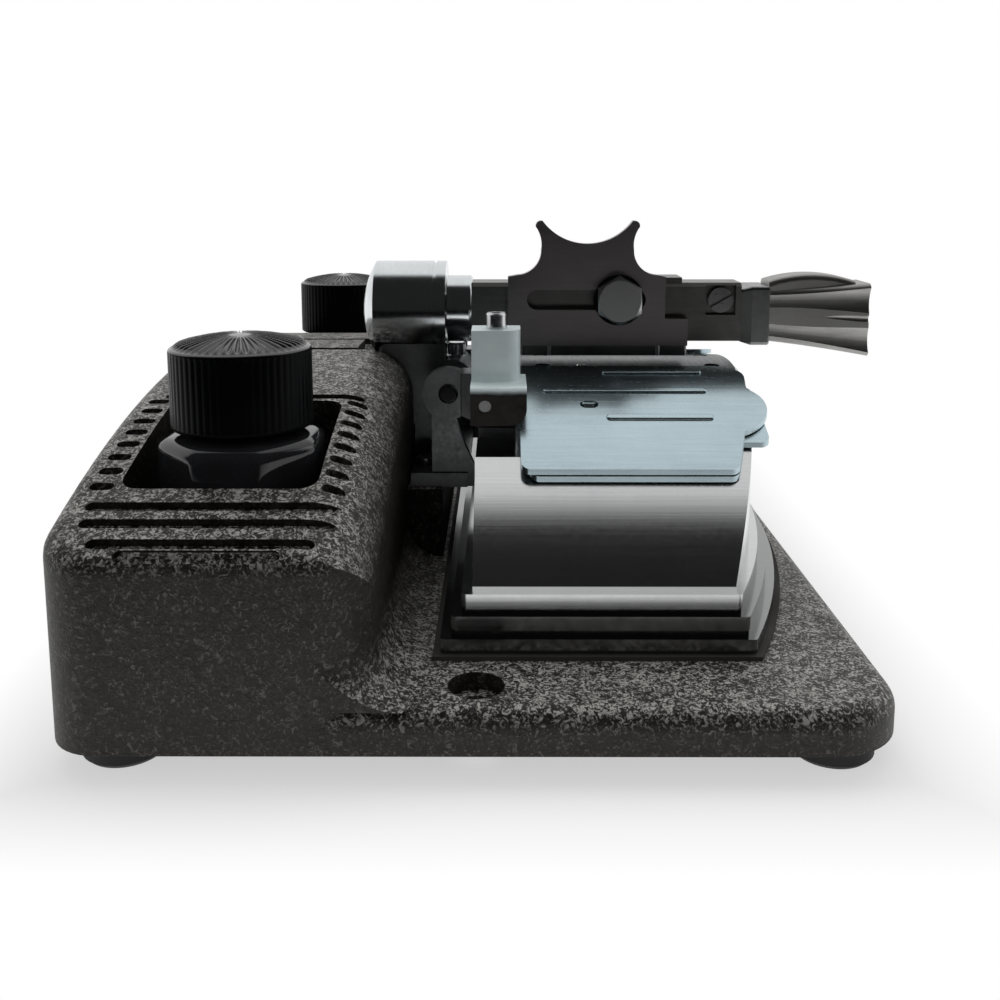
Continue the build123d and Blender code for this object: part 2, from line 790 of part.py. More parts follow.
with BuildPart() as centre_bed:
    extrude(arch_ring(block_radius, film_plate_top, plate_left), amount=plate_reach - plate_left)
    with BuildSketch(Plane.XY.offset(relief_floor)):
        bed_half = plate_inner - bed_gap
        corner = side_x(bed_half, plate_reach - 1, plate_side_radius)
        with BuildLine():
            Polyline((corner, bed_half), (plate_left, bed_half), (plate_left, -bed_half), (corner, -bed_half))
            ThreePointArc((corner, -bed_half), (plate_reach - 1, 0), (corner, bed_half))
        make_face()
        fillet(vertices(), plate_corner)
        with Locations(*bed_screw_places):
            Circle(bed_screw_head, mode=Mode.SUBTRACT)
        with Locations((film_pin_x, -film_pin_inner), (film_pin_x, film_pin_inner)):
            Rectangle(film_pin_length, film_pin_width, mode=Mode.SUBTRACT)
    extrude(amount=block_radius, mode=Mode.INTERSECT)
save(centre_bed, "centre_bed")

with BuildPart() as bed_screws:
    for x, y in bed_screw_places:
        seat = arch_height(abs(y) - bed_screw_head, block_radius)
        with BuildSketch(Plane.XY.offset(seat)):
            with Locations((x, y)):
                Circle(bed_screw_head - running_gap)
        extrude(amount=arch_height(y, film_plate_top) - seat - plate_gap)
        with BuildSketch(Plane.XY.offset(seat)):
            with Locations((x, y)):
                Circle(bed_screw_radius)
        extrude(amount=block_top - bed_screw_bite - seat)
save(bed_screws, "bed_screws")

with BuildPart() as bed_pins:
    low = arch_height(film_pin_inner - film_pin_width / 2, block_radius)
    high = arch_height(film_pin_inner, film_plate_top) + film_pin_rise - plate_gap
    with BuildSketch(Plane.XY.offset(low)):
        with Locations((film_pin_x, -film_pin_inner), (film_pin_x, film_pin_inner)):
            Rectangle(film_pin_length, film_pin_width)
    extrude(amount=high - low)
    chamfer(edges().group_by(Axis.Z)[-1], 0.3)
save(bed_pins, "bed_pins")

# ---- Hinge bracket, its shaft and screws ----

with BuildPart() as hinge_bracket:
    with BuildSketch(Plane.XY.offset(pedestal_top)):
        with Locations(((bracket_back + bracket_foot_front) / 2, 0)):
            Rectangle(bracket_foot_front - bracket_back, 2 * (ear_outer + 1))
    extrude(amount=bracket_foot_thickness)
    for s in (-1, 1):
        plane, depth = span(s, ear_inner, ear_outer)
        with BuildSketch(plane):
            with BuildLine():
                Polyline(
                    (main_axis_x - neck_half, pedestal_top), (main_axis_x - neck_half, main_axis_z),
                    (main_axis_x + 2, main_axis_z), (main_axis_x + 2, main_axis_z - ear_radius),
                    (main_axis_x + neck_half, main_axis_z - 2 * ear_radius),
                    (bracket_front, bracket_top + 2), (bracket_front, pedestal_top), close=True
                )
            make_face()
            with Locations((main_axis_x, main_axis_z)):
                Circle(ear_radius)
            with Locations((main_axis_x + ear_flat + ear_radius, main_axis_z + ear_radius / 2)):
                Rectangle(2 * ear_radius, 3 * ear_radius, mode=Mode.SUBTRACT)
            with Locations((main_axis_x, main_axis_z)):
                Circle(shaft_radius + running_gap, mode=Mode.SUBTRACT)
        extrude(amount=depth)
    with BuildSketch(Plane.XY.offset(pedestal_top)):
        with Locations(*bracket_screw_places, *post_screw_places):
            Circle(bracket_screw_radius)
    extrude(amount=bracket_foot_thickness, mode=Mode.SUBTRACT)
save(hinge_bracket, "hinge_bracket")

with BuildPart() as bracket_screws:
    post_bolt_top = bracket_top + post_bolt_rise
    for places, seat in ((bracket_screw_places, bracket_top), (post_screw_places, post_bolt_top)):
        with BuildSketch(Plane.XY.offset(seat)):
            with Locations(*places):
                Circle(bracket_screw_head)
        extrude(amount=bracket_screw_head_height)
        with BuildSketch(Plane.XY.offset(seat)):
            with Locations(*places):
                Circle(bracket_screw_radius)
        extrude(amount=pedestal_top - bracket_screw_bite - seat)
save(bracket_screws, "bracket_screws")

with BuildPart() as main_shaft:
    with BuildSketch(facing_left(ear_outer)):
        with Locations((main_axis_x, main_axis_z)):
            Circle(shaft_radius)
    extrude(amount=2 * ear_outer)
save(main_shaft, "main_shaft")

with BuildPart() as shaft_caps:
    for s in (-1, 1):
        plane, depth = span(s, ear_outer, ear_outer + shaft_cap_length)
        with BuildSketch(plane):
            with Locations((main_axis_x, main_axis_z)):
                Circle(shaft_cap_radius)
        extrude(amount=depth)
    rims = [e for e in edges() if abs(e.center().Y) > ear_outer + shaft_cap_length / 2]
    fillet(rims, shaft_cap_length * 0.7)
save(shaft_caps, "shaft_caps")

with BuildPart() as shaft_spacers:
    for low, high in ((seat_gap - barrel_inner, arm_y - post_width / 2),
                      (arm_y + post_width / 2, barrel_inner - seat_gap)):
        with BuildSketch(facing_left(high)):
            with Locations((main_axis_x, main_axis_z)):
                Circle(barrel_radius - 1)
                Circle(shaft_radius + running_gap, mode=Mode.SUBTRACT)
        extrude(amount=high - low)
save(shaft_spacers, "shaft_spacers")

# ---- Arm post and bearing housing ----

stop_screw_x = housing_front + stop_screw_radius + running_gap

with BuildPart() as arm_post:
    with BuildSketch(facing_left(arm_y + post_width / 2)):
        with BuildLine():
            Polyline(
                (post_back, post_seat), (hump_front + seat_gap, post_seat),
                (hump_front + seat_gap, bracket_top), (post_front, bracket_top), (post_front, main_axis_z - post_web),
                (main_axis_x, main_axis_z - post_web), (main_axis_x, main_axis_z + post_web),
                (post_front, main_axis_z + post_web), (post_front, arm_z), (post_back, arm_z), close=True
            )
        make_face()
        with Locations((main_axis_x, main_axis_z)):
            Circle(post_boss_radius)
            Circle(shaft_radius + running_gap, mode=Mode.SUBTRACT)
    extrude(amount=post_width)
    fillet(edges().filter_by(Axis.Z).sort_by(Axis.X)[:2], 3)
    with BuildSketch(Plane.YZ.offset(housing_back)):
        with Locations((arm_y, arm_z)):
            Circle(housing_radius)
    extrude(amount=2 * housing_radius + housing_front - housing_back, mode=Mode.SUBTRACT)
    # Pockets for the two screws, open to the front
    with BuildSketch(Plane.XY.offset(bracket_top)):
        with Locations(*post_screw_places):
            Circle(bracket_screw_radius + running_gap)
    extrude(amount=post_bolt_top - bracket_top, mode=Mode.SUBTRACT)
    with BuildSketch(Plane.XY.offset(post_bolt_top)):
        for x, y in post_screw_places:
            with Locations((x, y)):
                Circle(bracket_screw_head + seat_gap)
            with Locations(((x + post_front) / 2, y)):
                Rectangle(post_front - x, 2 * (bracket_screw_head + seat_gap))
    extrude(amount=2 * bracket_screw_head_height, mode=Mode.SUBTRACT)
    with BuildSketch(Plane.XY.offset(main_axis_z + post_boss_radius)):
        with Locations((stop_screw_x, arm_y)):
            Circle(stop_screw_shank)
    extrude(amount=-stop_screw_bite, mode=Mode.SUBTRACT)
save(arm_post, "arm_post")

with BuildPart() as stop_screw:
    seat = main_axis_z + post_boss_radius
    with BuildSketch(Plane.XY.offset(seat)):
        with Locations((stop_screw_x, arm_y)):
            Circle(stop_screw_radius)
    extrude(amount=arm_z - collar_radius - seat_gap - seat)
    chamfer(edges().group_by(Axis.Z)[-1], 0.5)
    with BuildSketch(Plane.XY.offset(seat)):
        with Locations((stop_screw_x, arm_y)):
            Circle(stop_screw_shank)
    extrude(amount=-stop_screw_bite)
save(stop_screw, "stop_screw")

bush_radius = arm_shaft_radius + running_gap + bush_wall
shaft_start = housing_back + housing_dome + 2

with BuildPart() as bearing_housing:
    with BuildSketch(Plane.XY.offset(arm_z)):
        with BuildLine():
            rim = arm_y + housing_radius
            Line((housing_back, arm_y), (shaft_start, arm_y))
            Line((shaft_start, arm_y), (shaft_start, arm_y + bush_radius))
            Line((shaft_start, arm_y + bush_radius), (housing_front, arm_y + bush_radius))
            Polyline(
                (housing_front, arm_y + bush_radius), (housing_front, rim),
                (housing_front - housing_ring, rim),
                (housing_front - housing_ring, rim - housing_ring_depth),
                (housing_front - housing_ring - 1, rim - housing_ring_depth),
                (housing_front - housing_ring - 1, rim), (housing_back + housing_dome, rim)
            )
            dome_radius = (housing_radius ** 2 + housing_dome ** 2) / (2 * housing_dome)
            dome_side = housing_back + dome_radius - sqrt(dome_radius ** 2 - (housing_radius / 2) ** 2)
            ThreePointArc(
                (housing_back + housing_dome, rim), (dome_side, arm_y + housing_radius / 2),
                (housing_back, arm_y)
            )
        make_face()
    revolve(axis=Axis((0, arm_y, arm_z), (1, 0, 0)))
save(bearing_housing, "bearing_housing")

with BuildPart() as arm_bushes:
    for start in (shaft_start + 1, housing_front - bush_length):
        with BuildSketch(Plane.YZ.offset(start)):
            with Locations((arm_y, arm_z)):
                Circle(bush_radius)
                Circle(arm_shaft_radius + running_gap, mode=Mode.SUBTRACT)
        extrude(amount=bush_length)
save(arm_bushes, "arm_bushes")

# ---- Scraper arm ----

collar_back = housing_front + seat_gap
bar_start = collar_back + collar_length

with BuildPart() as arm_shaft:
    with BuildSketch(Plane.YZ.offset(shaft_start + 1)):
        with Locations((arm_y, arm_z)):
            Circle(arm_shaft_radius)
    extrude(amount=collar_back - shaft_start - 1)
    with BuildSketch(Plane.YZ.offset(collar_back)):
        with Locations((arm_y, arm_z)):
            Circle(collar_radius)
    extrude(amount=collar_length)
    fillet(edges().group_by(Axis.X)[-1], 1)
save(arm_shaft, "arm_shaft")

bar_middle_z = arm_z - bar_drop + bar_height / 2
screw_z = arm_z - handle_screw_drop

with BuildPart() as arm_bar:
    with BuildSketch(Plane.YZ.offset(bar_start)):
        with Locations((arm_y, bar_middle_z)):
            Rectangle(bar_width, bar_height)
    extrude(amount=bar_end - bar_start)
    chamfer(edges().filter_by(Axis.X).group_by(Axis.Z)[-1], bar_chamfer)
    with BuildSketch(Plane.XY.offset(bar_middle_z)):
        with Locations(((bar_pad_start + bar_pad_end) / 2, arm_y)):
            Rectangle(bar_pad_end - bar_pad_start, bar_width - 2 * bar_chamfer)
    extrude(amount=bar_height / 2 + bar_pad_rise)
    with BuildSketch(facing_left(bar_face)):
        with Locations((handle_screw_x, screw_z)):
            Rectangle(handle_recess, handle_recess)
    extrude(amount=-handle_screw_head, mode=Mode.SUBTRACT)
    with BuildSketch(facing_left(bar_face)):
        with Locations((handle_screw_x, screw_z)):
            Circle(handle_screw_radius / 2)
    extrude(amount=-handle_screw_length, mode=Mode.SUBTRACT)
    with BuildSketch(facing_left(bar_face)):
        with Locations((bolt_x, bolt_z)):
            Circle(slide_slot_height / 2 - bolt_shank_gap)
    extrude(amount=-bolt_bite, mode=Mode.SUBTRACT)
save(arm_bar, "arm_bar")

with BuildPart() as handle_screw:
    with BuildSketch(facing_left(bar_face + handle_screw_head)):
        with Locations((handle_screw_x, screw_z)):
            Circle(handle_screw_radius)
    extrude(amount=handle_screw_head)
    with BuildSketch(facing_left(bar_face)):
        with Locations((handle_screw_x, screw_z)):
            Rectangle(2 * handle_screw_radius, handle_screw_slot, rotation=30)
    extrude(amount=-handle_screw_head / 2, mode=Mode.SUBTRACT)
    with BuildSketch(facing_left(bar_face + handle_screw_head)):
        with Locations((handle_screw_x, screw_z)):
            Circle(handle_screw_radius / 2)
    extrude(amount=handle_screw_head - handle_screw_length)
save(handle_screw, "handle_screw")

ferrule_z = arm_z - handle_neck_drop
ferrule_start = (bar_width, handle_neck_height)
ferrule_full = (bar_width + 2 * ferrule_proud, handle_neck_height + 2 * ferrule_proud)

with BuildPart() as arm_ferrule:
    for x, (width, height) in ((bar_end, ferrule_start), (bar_end + ferrule_taper, ferrule_full)):
        with BuildSketch(Plane.YZ.offset(x)):
            with Locations((arm_y, ferrule_z)):
                RectangleRounded(width, height, 1)
    loft()
    with BuildSketch(Plane.YZ.offset(bar_end + ferrule_taper)):
        with Locations((arm_y, ferrule_z)):
            RectangleRounded(*ferrule_full, 1)
    extrude(amount=ferrule_end - bar_end - ferrule_taper)
    chamfer(edges().group_by(Axis.X)[-1], 0.4)
save(arm_ferrule, "arm_ferrule")

with BuildPart() as arm_handle:
    sections = (
        (ferrule_end, handle_neck_width, handle_neck_height, handle_neck_drop),
        ((ferrule_end + handle_end) / 2, (handle_neck_width + handle_width) / 2 - 0.4,
         (handle_neck_height + handle_height) / 2 - 0.5, (handle_neck_drop + handle_drop) / 2),
        (handle_end, handle_width, handle_height, handle_drop),
    )
    for x, width, height, drop in sections:
        with BuildSketch(Plane.YZ.offset(x)):
            with Locations((arm_y, arm_z - drop)):
                RectangleRounded(width, height, handle_round)
    loft()
    # Crest along the top, shorter than the handle
    neck_top_z = arm_z - handle_neck_drop + handle_neck_height / 2
    end_top_z = arm_z - handle_drop + handle_height / 2
    crest_end = handle_end - crest_end_inset
    with BuildSketch(facing_left(arm_y + crest_width / 2)):
        with BuildLine():
            Polyline(
                (ferrule_end, neck_top_z + crest_rise), (ferrule_end, arm_z), (crest_end, arm_z),
                (crest_end, end_top_z + crest_rise / 4)
            )
            ThreePointArc(
                (crest_end, end_top_z + crest_rise / 4),
                ((ferrule_end + 2 * crest_end) / 3, end_top_z + crest_rise),
                (ferrule_end, neck_top_z + crest_rise)
            )
        make_face()
    extrude(amount=crest_width)
    crest_edges = [e for e in edges().filter_by(GeomType.CIRCLE) if e.center().Z > end_top_z + crest_rise / 3]
    fillet(crest_edges, crest_round)
    # Flutes along both faces, spreading with the flare
    for s in (-1, 1):
        for share, radius, neck_depth, end_depth in flutes:
            for (x, width, height, drop), depth in ((sections[0], neck_depth), (sections[-1], end_depth)):
                with BuildSketch(Plane.YZ.offset(x)):
                    with Locations((arm_y + s * (width / 2 + radius - depth), arm_z - drop + share * height)):
                        Circle(radius)
            loft(mode=Mode.SUBTRACT)
    # Slight hollow of the end face
    with BuildSketch(facing_left(arm_y + handle_width)):
        end_z = arm_z - handle_drop
        low_z = end_z - handle_height / 2
        with BuildLine():
            Polyline(
                (handle_end, end_top_z), (handle_end + 1, end_top_z), (handle_end + 1, low_z),
                (handle_end, low_z)
            )
            ThreePointArc((handle_end, low_z), (handle_end - handle_hollow, end_z), (handle_end, end_top_z))
        make_face()
    extrude(amount=2 * handle_width, mode=Mode.SUBTRACT)
save(arm_handle, "arm_handle")

with BuildPart() as slide_bolt:
    with BuildSketch(facing_left(washer_face)):
        with Locations((bolt_x, bolt_z)):
            RegularPolygon(bolt_flats / 2, 6, major_radius=False, rotation=30)
    extrude(amount=bolt_head)
    # Bevel of the head's corners
    with BuildSketch(facing_left(washer_face - bolt_head)):
        with Locations((bolt_x, bolt_z)):
            Circle(bolt_flats / 2 - 0.3)
    extrude(amount=-bolt_head, taper=-bolt_bevel, mode=Mode.INTERSECT)
    with BuildSketch(facing_left(washer_face)):
        with Locations((bolt_x, bolt_z)):
            Circle(slide_slot_height / 2 - bolt_shank_gap)
    extrude(amount=washer_face - bar_face - bolt_bite)
save(slide_bolt, "slide_bolt")

with BuildPart() as bolt_washer:
    with BuildSketch(facing_left(washer_face + washer_thickness)):
        with Locations((bolt_x, bolt_z)):
            Circle(washer_radius)
            Circle(slide_slot_height / 2, mode=Mode.SUBTRACT)
    extrude(amount=washer_thickness)
save(bolt_washer, "bolt_washer")

# ---- Scraper slide with its two horns, and the foot and blade it carries ----

with BuildPart() as scraper_slide:
    with BuildSketch(facing_left(slide_rear)):
        with BuildLine():
            tip = arm_z + horn_rise
            waist = arm_z + waist_rise
            side_z = arm_z + horn_side_rise
            shoulder = arm_z + shoulder_rise
            low = arm_z - slide_bottom
            toe = arm_z - slide_toe_top
            for s in (-1, 1):
                ThreePointArc(
                    (slide_middle + s * shoulder_reach, shoulder),
                    (slide_middle + s * (waist_reach + 1.6), (shoulder + waist) / 2 - 1),
                    (slide_middle + s * waist_reach, waist)
                )
                ThreePointArc(
                    (slide_middle + s * waist_reach, waist),
                    (slide_middle + s * (waist_reach + 0.1), (waist + side_z) / 2),
                    (slide_middle + s * horn_reach, side_z)
                )
                ThreePointArc(
                    (slide_middle + s * horn_reach, side_z),
                    (slide_middle + s * (horn_reach - 0.5), tip - 0.3),
                    (slide_middle + s * horn_tip_reach, tip)
                )
            ThreePointArc(
                (slide_middle - horn_tip_reach, tip), (slide_middle, arm_z + dip_rise),
                (slide_middle + horn_tip_reach, tip)
            )
            Polyline(
                (slide_middle - shoulder_reach, shoulder), (slide_back, shoulder - 0.5), (slide_back, low),
                (slide_toe_front, low), (slide_toe_front, toe), (slide_front, toe),
                (slide_front, shoulder - 0.5), (slide_middle + shoulder_reach, shoulder)
            )
        make_face()
        with Locations(((slide_slot_back + slide_slot_front) / 2, bolt_z)):
            SlotOverall(slide_slot_front - slide_slot_back, slide_slot_height, mode=Mode.SUBTRACT)
    extrude(amount=slide_thickness)
    with BuildSketch(Plane.XY.offset(arm_z - slide_bottom)):
        with Locations(*[(x, slide_rear - slide_thickness / 2) for x in slide_screw_x]):
            Circle(slide_screw_radius)
    extrude(amount=slide_screw_bite, mode=Mode.SUBTRACT)
save(scraper_slide, "scraper_slide")

foot_top = arm_z - slide_bottom
foot_low = foot_top - foot_bar_height

with BuildPart() as scraper_foot:
    with BuildSketch(Plane.XY.offset(foot_low)):
        with Locations(((foot_bar_back + slide_toe_front) / 2, (foot_bar_rear_y - foot_bar_front_y) / 2)):
            RectangleRounded(slide_toe_front - foot_bar_back, foot_bar_front_y + foot_bar_rear_y, 1)
        with Locations(*[(x, slide_rear - slide_thickness / 2) for x in slide_screw_x]):
            Circle(slide_screw_radius, mode=Mode.SUBTRACT)
    extrude(amount=foot_bar_height)
    with BuildSketch(Plane.XY.offset(foot_low)):
        with Locations(((foot_bar_back + slide_toe_front) / 2, 0)):
            Rectangle(slide_toe_front - foot_bar_back, blade_thickness)
    extrude(amount=blade_depth, mode=Mode.SUBTRACT)
save(scraper_foot, "scraper_foot")

with BuildPart() as scraper_blade:
    with BuildSketch(Plane.XY.offset(foot_low + blade_depth)):
        with Locations(((foot_bar_back + slide_toe_front) / 2, 0)):
            Rectangle(slide_toe_front - foot_bar_back, blade_thickness)
    extrude(amount=-blade_depth - blade_proud)
save(scraper_blade, "scraper_blade")

with BuildPart() as slide_screws:
    with BuildSketch(Plane.XY.offset(foot_low)):
        with Locations(*[(x, slide_rear - slide_thickness / 2) for x in slide_screw_x]):
            Circle(slide_screw_radius)
    extrude(amount=foot_bar_height + slide_screw_bite)
save(slide_screws, "slide_screws")

# ---- Jaws: each side has a lower jaw on the main shaft and an upper jaw hinged to it ----


def plate_plan(side, left):
    """Plan of one side's plate: straight on three sides, rounded on the right."""
    near = side_x(plate_inner, plate_reach, plate_side_radius)
    far = side_x(plate_outer, plate_reach, plate_side_radius)
    middle = (plate_inner + plate_outer) / 2
    crest = side_x(middle, plate_reach, plate_side_radius)
    with BuildSketch() as plan:
        with BuildLine():
            Polyline((near, side * plate_inner), (left, side * plate_inner), (left, side * plate_outer),
                     (far, side * plate_outer))
            ThreePointArc((far, side * plate_outer), (crest, side * middle), (near, side * plate_inner))
        make_face()
        right = vertices().group_by(Axis.X)
        fillet(right[-1], plate_inner_corner)
        fillet([v for v in vertices() if abs(abs(v.Y) - plate_outer) < 0.01], plate_corner)
    return plan.sketch


barrel_outer = ear_inner - seat_gap
jaw_floor = relief_floor + jaw_floor_gap
knuckle_bottom = hinge_pin_z - knuckle_drop
knuckle_top = knuckle_bottom + knuckle_height
upright_top = knuckle_top + upright_height
upright_left = knuckle_left + 0.1
tension_screw_y = (knuckle_inner + upright_outer) / 2

for s, side in sides:
    with BuildPart() as jaw_body:
        plane, depth = span(s, barrel_inner, barrel_outer)
        with BuildSketch(plane):
            with BuildLine():
                Polyline(
                    (main_axis_x, main_axis_z - barrel_radius), (beam_left, jaw_floor),
                    (hinge_pin_x + lug_radius, jaw_floor), (hinge_pin_x + lug_radius, hinge_pin_z),
                    (hinge_pin_x, hinge_pin_z + lug_radius), (main_axis_x, main_axis_z + barrel_radius),
                    close=True
                )
            make_face()
            with Locations((main_axis_x, main_axis_z)):
                Circle(barrel_radius)
            with Locations((hinge_pin_x, hinge_pin_z)):
                Circle(lug_radius)
        extrude(amount=depth)
        with BuildPart(mode=Mode.PRIVATE) as beam:
            plane, depth = span(s, barrel_inner, tail_outer + seat_gap)
            with BuildSketch(plane):
                with Locations(((beam_left + beam_right) / 2, (jaw_floor + block_top + 1) / 2)):
                    Rectangle(beam_right - beam_left, block_top + 1 - jaw_floor)
            extrude(amount=depth)
            with BuildSketch(Plane.YZ.offset(beam_left)):
                with Locations((0, arch_z)):
                    Circle(film_plate_radius)
            extrude(amount=beam_right - beam_left, mode=Mode.INTERSECT)
        add(beam.part)
        plane, depth = span(s, barrel_inner, tail_outer + seat_gap)
        with BuildSketch(plane):
            with Locations((main_axis_x, main_axis_z)):
                Circle(shaft_radius + running_gap)
            with Locations((hinge_pin_x, hinge_pin_z)):
                Circle(hinge_pin_radius)
        extrude(amount=depth, mode=Mode.SUBTRACT)
        for y in plate_screw_y:
            with BuildSketch(Plane.XY.offset(arch_height(y + plate_screw_head, film_plate_radius))):
                with Locations((plate_screw_x, s * y)):
                    Circle(plate_screw_head + running_gap)
            extrude(amount=block_top, mode=Mode.SUBTRACT)
            with BuildSketch(Plane.XY.offset(arch_height(y + plate_screw_head, film_plate_radius))):
                with Locations((plate_screw_x, s * y)):
                    Circle(plate_screw_radius)
            extrude(amount=-plate_screw_length, mode=Mode.SUBTRACT)
    save(jaw_body, f"{side}_jaw_body")

    with BuildPart() as film_plate:
        extrude(arch_ring(film_plate_radius, film_plate_top, tail_left), amount=tab_reach - tail_left)
        with BuildSketch(Plane.XY.offset(slab_top)):
            add(plate_plan(s, film_plate_left))
            with Locations(((tail_left + film_pin_x) / 2, s * (plate_inner + tail_outer) / 2)):
                Rectangle(film_pin_x - tail_left, tail_outer - plate_inner)
            with Locations((lower_tab_reach - lower_tab_half, s * tab_middle)):
                RectangleRounded(2 * lower_tab_half, 2 * lower_tab_half, plate_corner)
            with Locations(*[(plate_screw_x, s * y) for y in plate_screw_y]):
                Circle(plate_screw_head + running_gap, mode=Mode.SUBTRACT)
            with Locations((film_pin_x, s * film_pin_outer)):
                Rectangle(film_pin_length, film_pin_width, mode=Mode.SUBTRACT)
        extrude(amount=block_apex + 2 * plate_thickness + 1, mode=Mode.INTERSECT)
    save(film_plate, f"{side}_film_plate")

    with BuildPart() as plate_screws:
        for y in plate_screw_y:
            seat = arch_height(y + plate_screw_head, film_plate_radius)
            head_top = arch_height(y, film_plate_top)
            with BuildSketch(Plane.XY.offset(head_top)):
                with Locations((plate_screw_x, s * y)):
                    Circle(plate_screw_head)
            extrude(amount=seat - head_top)
            with BuildSketch(Plane.XY.offset(seat)):
                with Locations((plate_screw_x, s * y)):
                    Circle(plate_screw_radius)
            extrude(amount=-plate_screw_length)
    save(plate_screws, f"{side}_plate_screws")

    with BuildPart() as film_pin:
        low = arch_height(film_pin_outer - film_pin_width / 2, film_plate_radius)
        high = arch_height(film_pin_outer, film_plate_top) + film_pin_rise
        with BuildSketch(Plane.XY.offset(low)):
            with Locations((film_pin_x, s * film_pin_outer)):
                Rectangle(film_pin_length, film_pin_width)
        extrude(amount=high - low)
        chamfer(edges().group_by(Axis.Z)[-1], 0.3)
    save(film_pin, f"{side}_film_pin")

    with BuildPart() as hinge_pin:
        plane, depth = span(s, barrel_inner, knuckle_outer - 0.5)
        with BuildSketch(plane):
            with Locations((hinge_pin_x, hinge_pin_z)):
                Circle(hinge_pin_radius)
        extrude(amount=depth)
    save(hinge_pin, f"{side}_hinge_pin")

    with BuildPart() as pressure_plate:
        extrude(arch_ring(pressure_radius, pressure_top, tongue_left), amount=tab_reach - tongue_left)
        with BuildSketch(Plane.XY.offset(slab_top)):
            add(plate_plan(s, plate_left))
            with Locations((tab_reach - tab_radius, s * tab_middle)):
                Circle(tab_radius)
            with Locations((tongue_left / 2, s * (tongue_inner + tongue_outer) / 2)):
                Rectangle(-tongue_left, tongue_outer - tongue_inner)
            with Locations((film_pin_x, s * film_pin_outer)):
                SlotOverall(pin_slot_length, pin_slot_width, mode=Mode.SUBTRACT)
            with Locations(*[(clamp_screw_x, s * y) for y in clamp_screw_y]):
                Circle(clamp_screw_radius, mode=Mode.SUBTRACT)
        extrude(amount=block_apex + 4 * plate_thickness, mode=Mode.INTERSECT)
        for y, start, end in rib_rows:
            lean = asin(y / pressure_top)
            spot = (((start + end) / 2), s * y, arch_height(y, pressure_top))
            tilt = Plane(origin=spot, x_dir=(1, 0, 0), z_dir=(0, s * sin(lean), cos(lean)))
            with BuildSketch(tilt.offset(-plate_thickness / 2)):
                SlotOverall(end - start, 2 * rib_radius)
            extrude(amount=plate_thickness / 2 + rib_proud)
            crest = faces().sort_by_distance(tilt.offset(rib_proud).origin)[0]
            fillet(crest.edges(), rib_proud * 0.8)
    save(pressure_plate, f"{side}_pressure_plate")

    with BuildPart() as hinge_block:
        plane, depth = span(s, knuckle_inner, knuckle_outer)
        with BuildSketch(plane):
            with Locations(((knuckle_left + knuckle_right) / 2, (knuckle_bottom + knuckle_top) / 2)):
                Rectangle(knuckle_right - knuckle_left, knuckle_height)
            fillet(vertices().group_by(Axis.Y)[0].sort_by(Axis.X)[-1], knuckle_low_round)
        extrude(amount=depth)
        shelf = edges().filter_by(Axis.X).group_by(Axis.Z)[-1]
        fillet([e for e in shelf if abs(e.center().Y) > knuckle_outer - 1], knuckle_shelf_round)
        plane, depth = span(s, knuckle_inner, upright_outer)
        with BuildSketch(plane):
            with Locations(((upright_left + upright_right) / 2, (knuckle_top + upright_top) / 2)):
                Rectangle(upright_right - upright_left, upright_height)
        extrude(amount=depth)
        corner = [e for e in edges().filter_by(Axis.Z) if e.center().Z > knuckle_top
                  and abs(e.center().X - upright_right) < 0.01 and abs(e.center().Y) > upright_outer - 1]
        fillet(corner, upright_round)
        plane, depth = span(s, knuckle_inner, knuckle_outer)
        with BuildSketch(plane):
            with Locations((hinge_pin_x, hinge_pin_z)):
                Circle(hinge_pin_radius + running_gap)
        extrude(amount=depth, mode=Mode.SUBTRACT)
        # Slot that takes the plate's tongue, and its clearance round the plate's edge
        with BuildPart(mode=Mode.PRIVATE) as plate_slot:
            slot_left = tongue_left - running_gap
            band = arch_ring(pressure_radius - running_gap, pressure_top + running_gap, slot_left)
            extrude(band, amount=-slot_left)
            with BuildSketch(Plane.XY.offset(slab_top)):
                with Locations((slot_left / 2, s * (tongue_inner + tongue_outer) / 2)):
                    Rectangle(-slot_left, tongue_outer - tongue_inner + 2 * running_gap)
                with Locations(((plate_left - running_gap) / 2, s * (knuckle_inner + knuckle_outer) / 2)):
                    Rectangle(running_gap - plate_left, knuckle_outer - knuckle_inner + 2)
            extrude(amount=block_apex + 4 * plate_thickness, mode=Mode.INTERSECT)
        add(plate_slot.part, mode=Mode.SUBTRACT)
        with BuildSketch(Plane.XY.offset(knuckle_bottom)):
            with Locations(*[(clamp_screw_x, s * y) for y in clamp_screw_y]):
                Circle(clamp_screw_radius)
        extrude(amount=knuckle_height - 2, mode=Mode.SUBTRACT)
        with BuildSketch(Plane.XY.offset(upright_top)):
            with Locations((tension_screw_x, s * tension_screw_y)):
                Circle(tension_screw_shank)
        extrude(amount=-tension_screw_bite, mode=Mode.SUBTRACT)
    save(hinge_block, f"{side}_hinge_block")

    with BuildPart() as clamp_screws:
        with BuildSketch(Plane.XY.offset(knuckle_bottom)):
            with Locations(*[(clamp_screw_x, s * y) for y in clamp_screw_y]):
                Circle(clamp_screw_radius)
        extrude(amount=knuckle_height - 2)
    save(clamp_screws, f"{side}_clamp_screws")

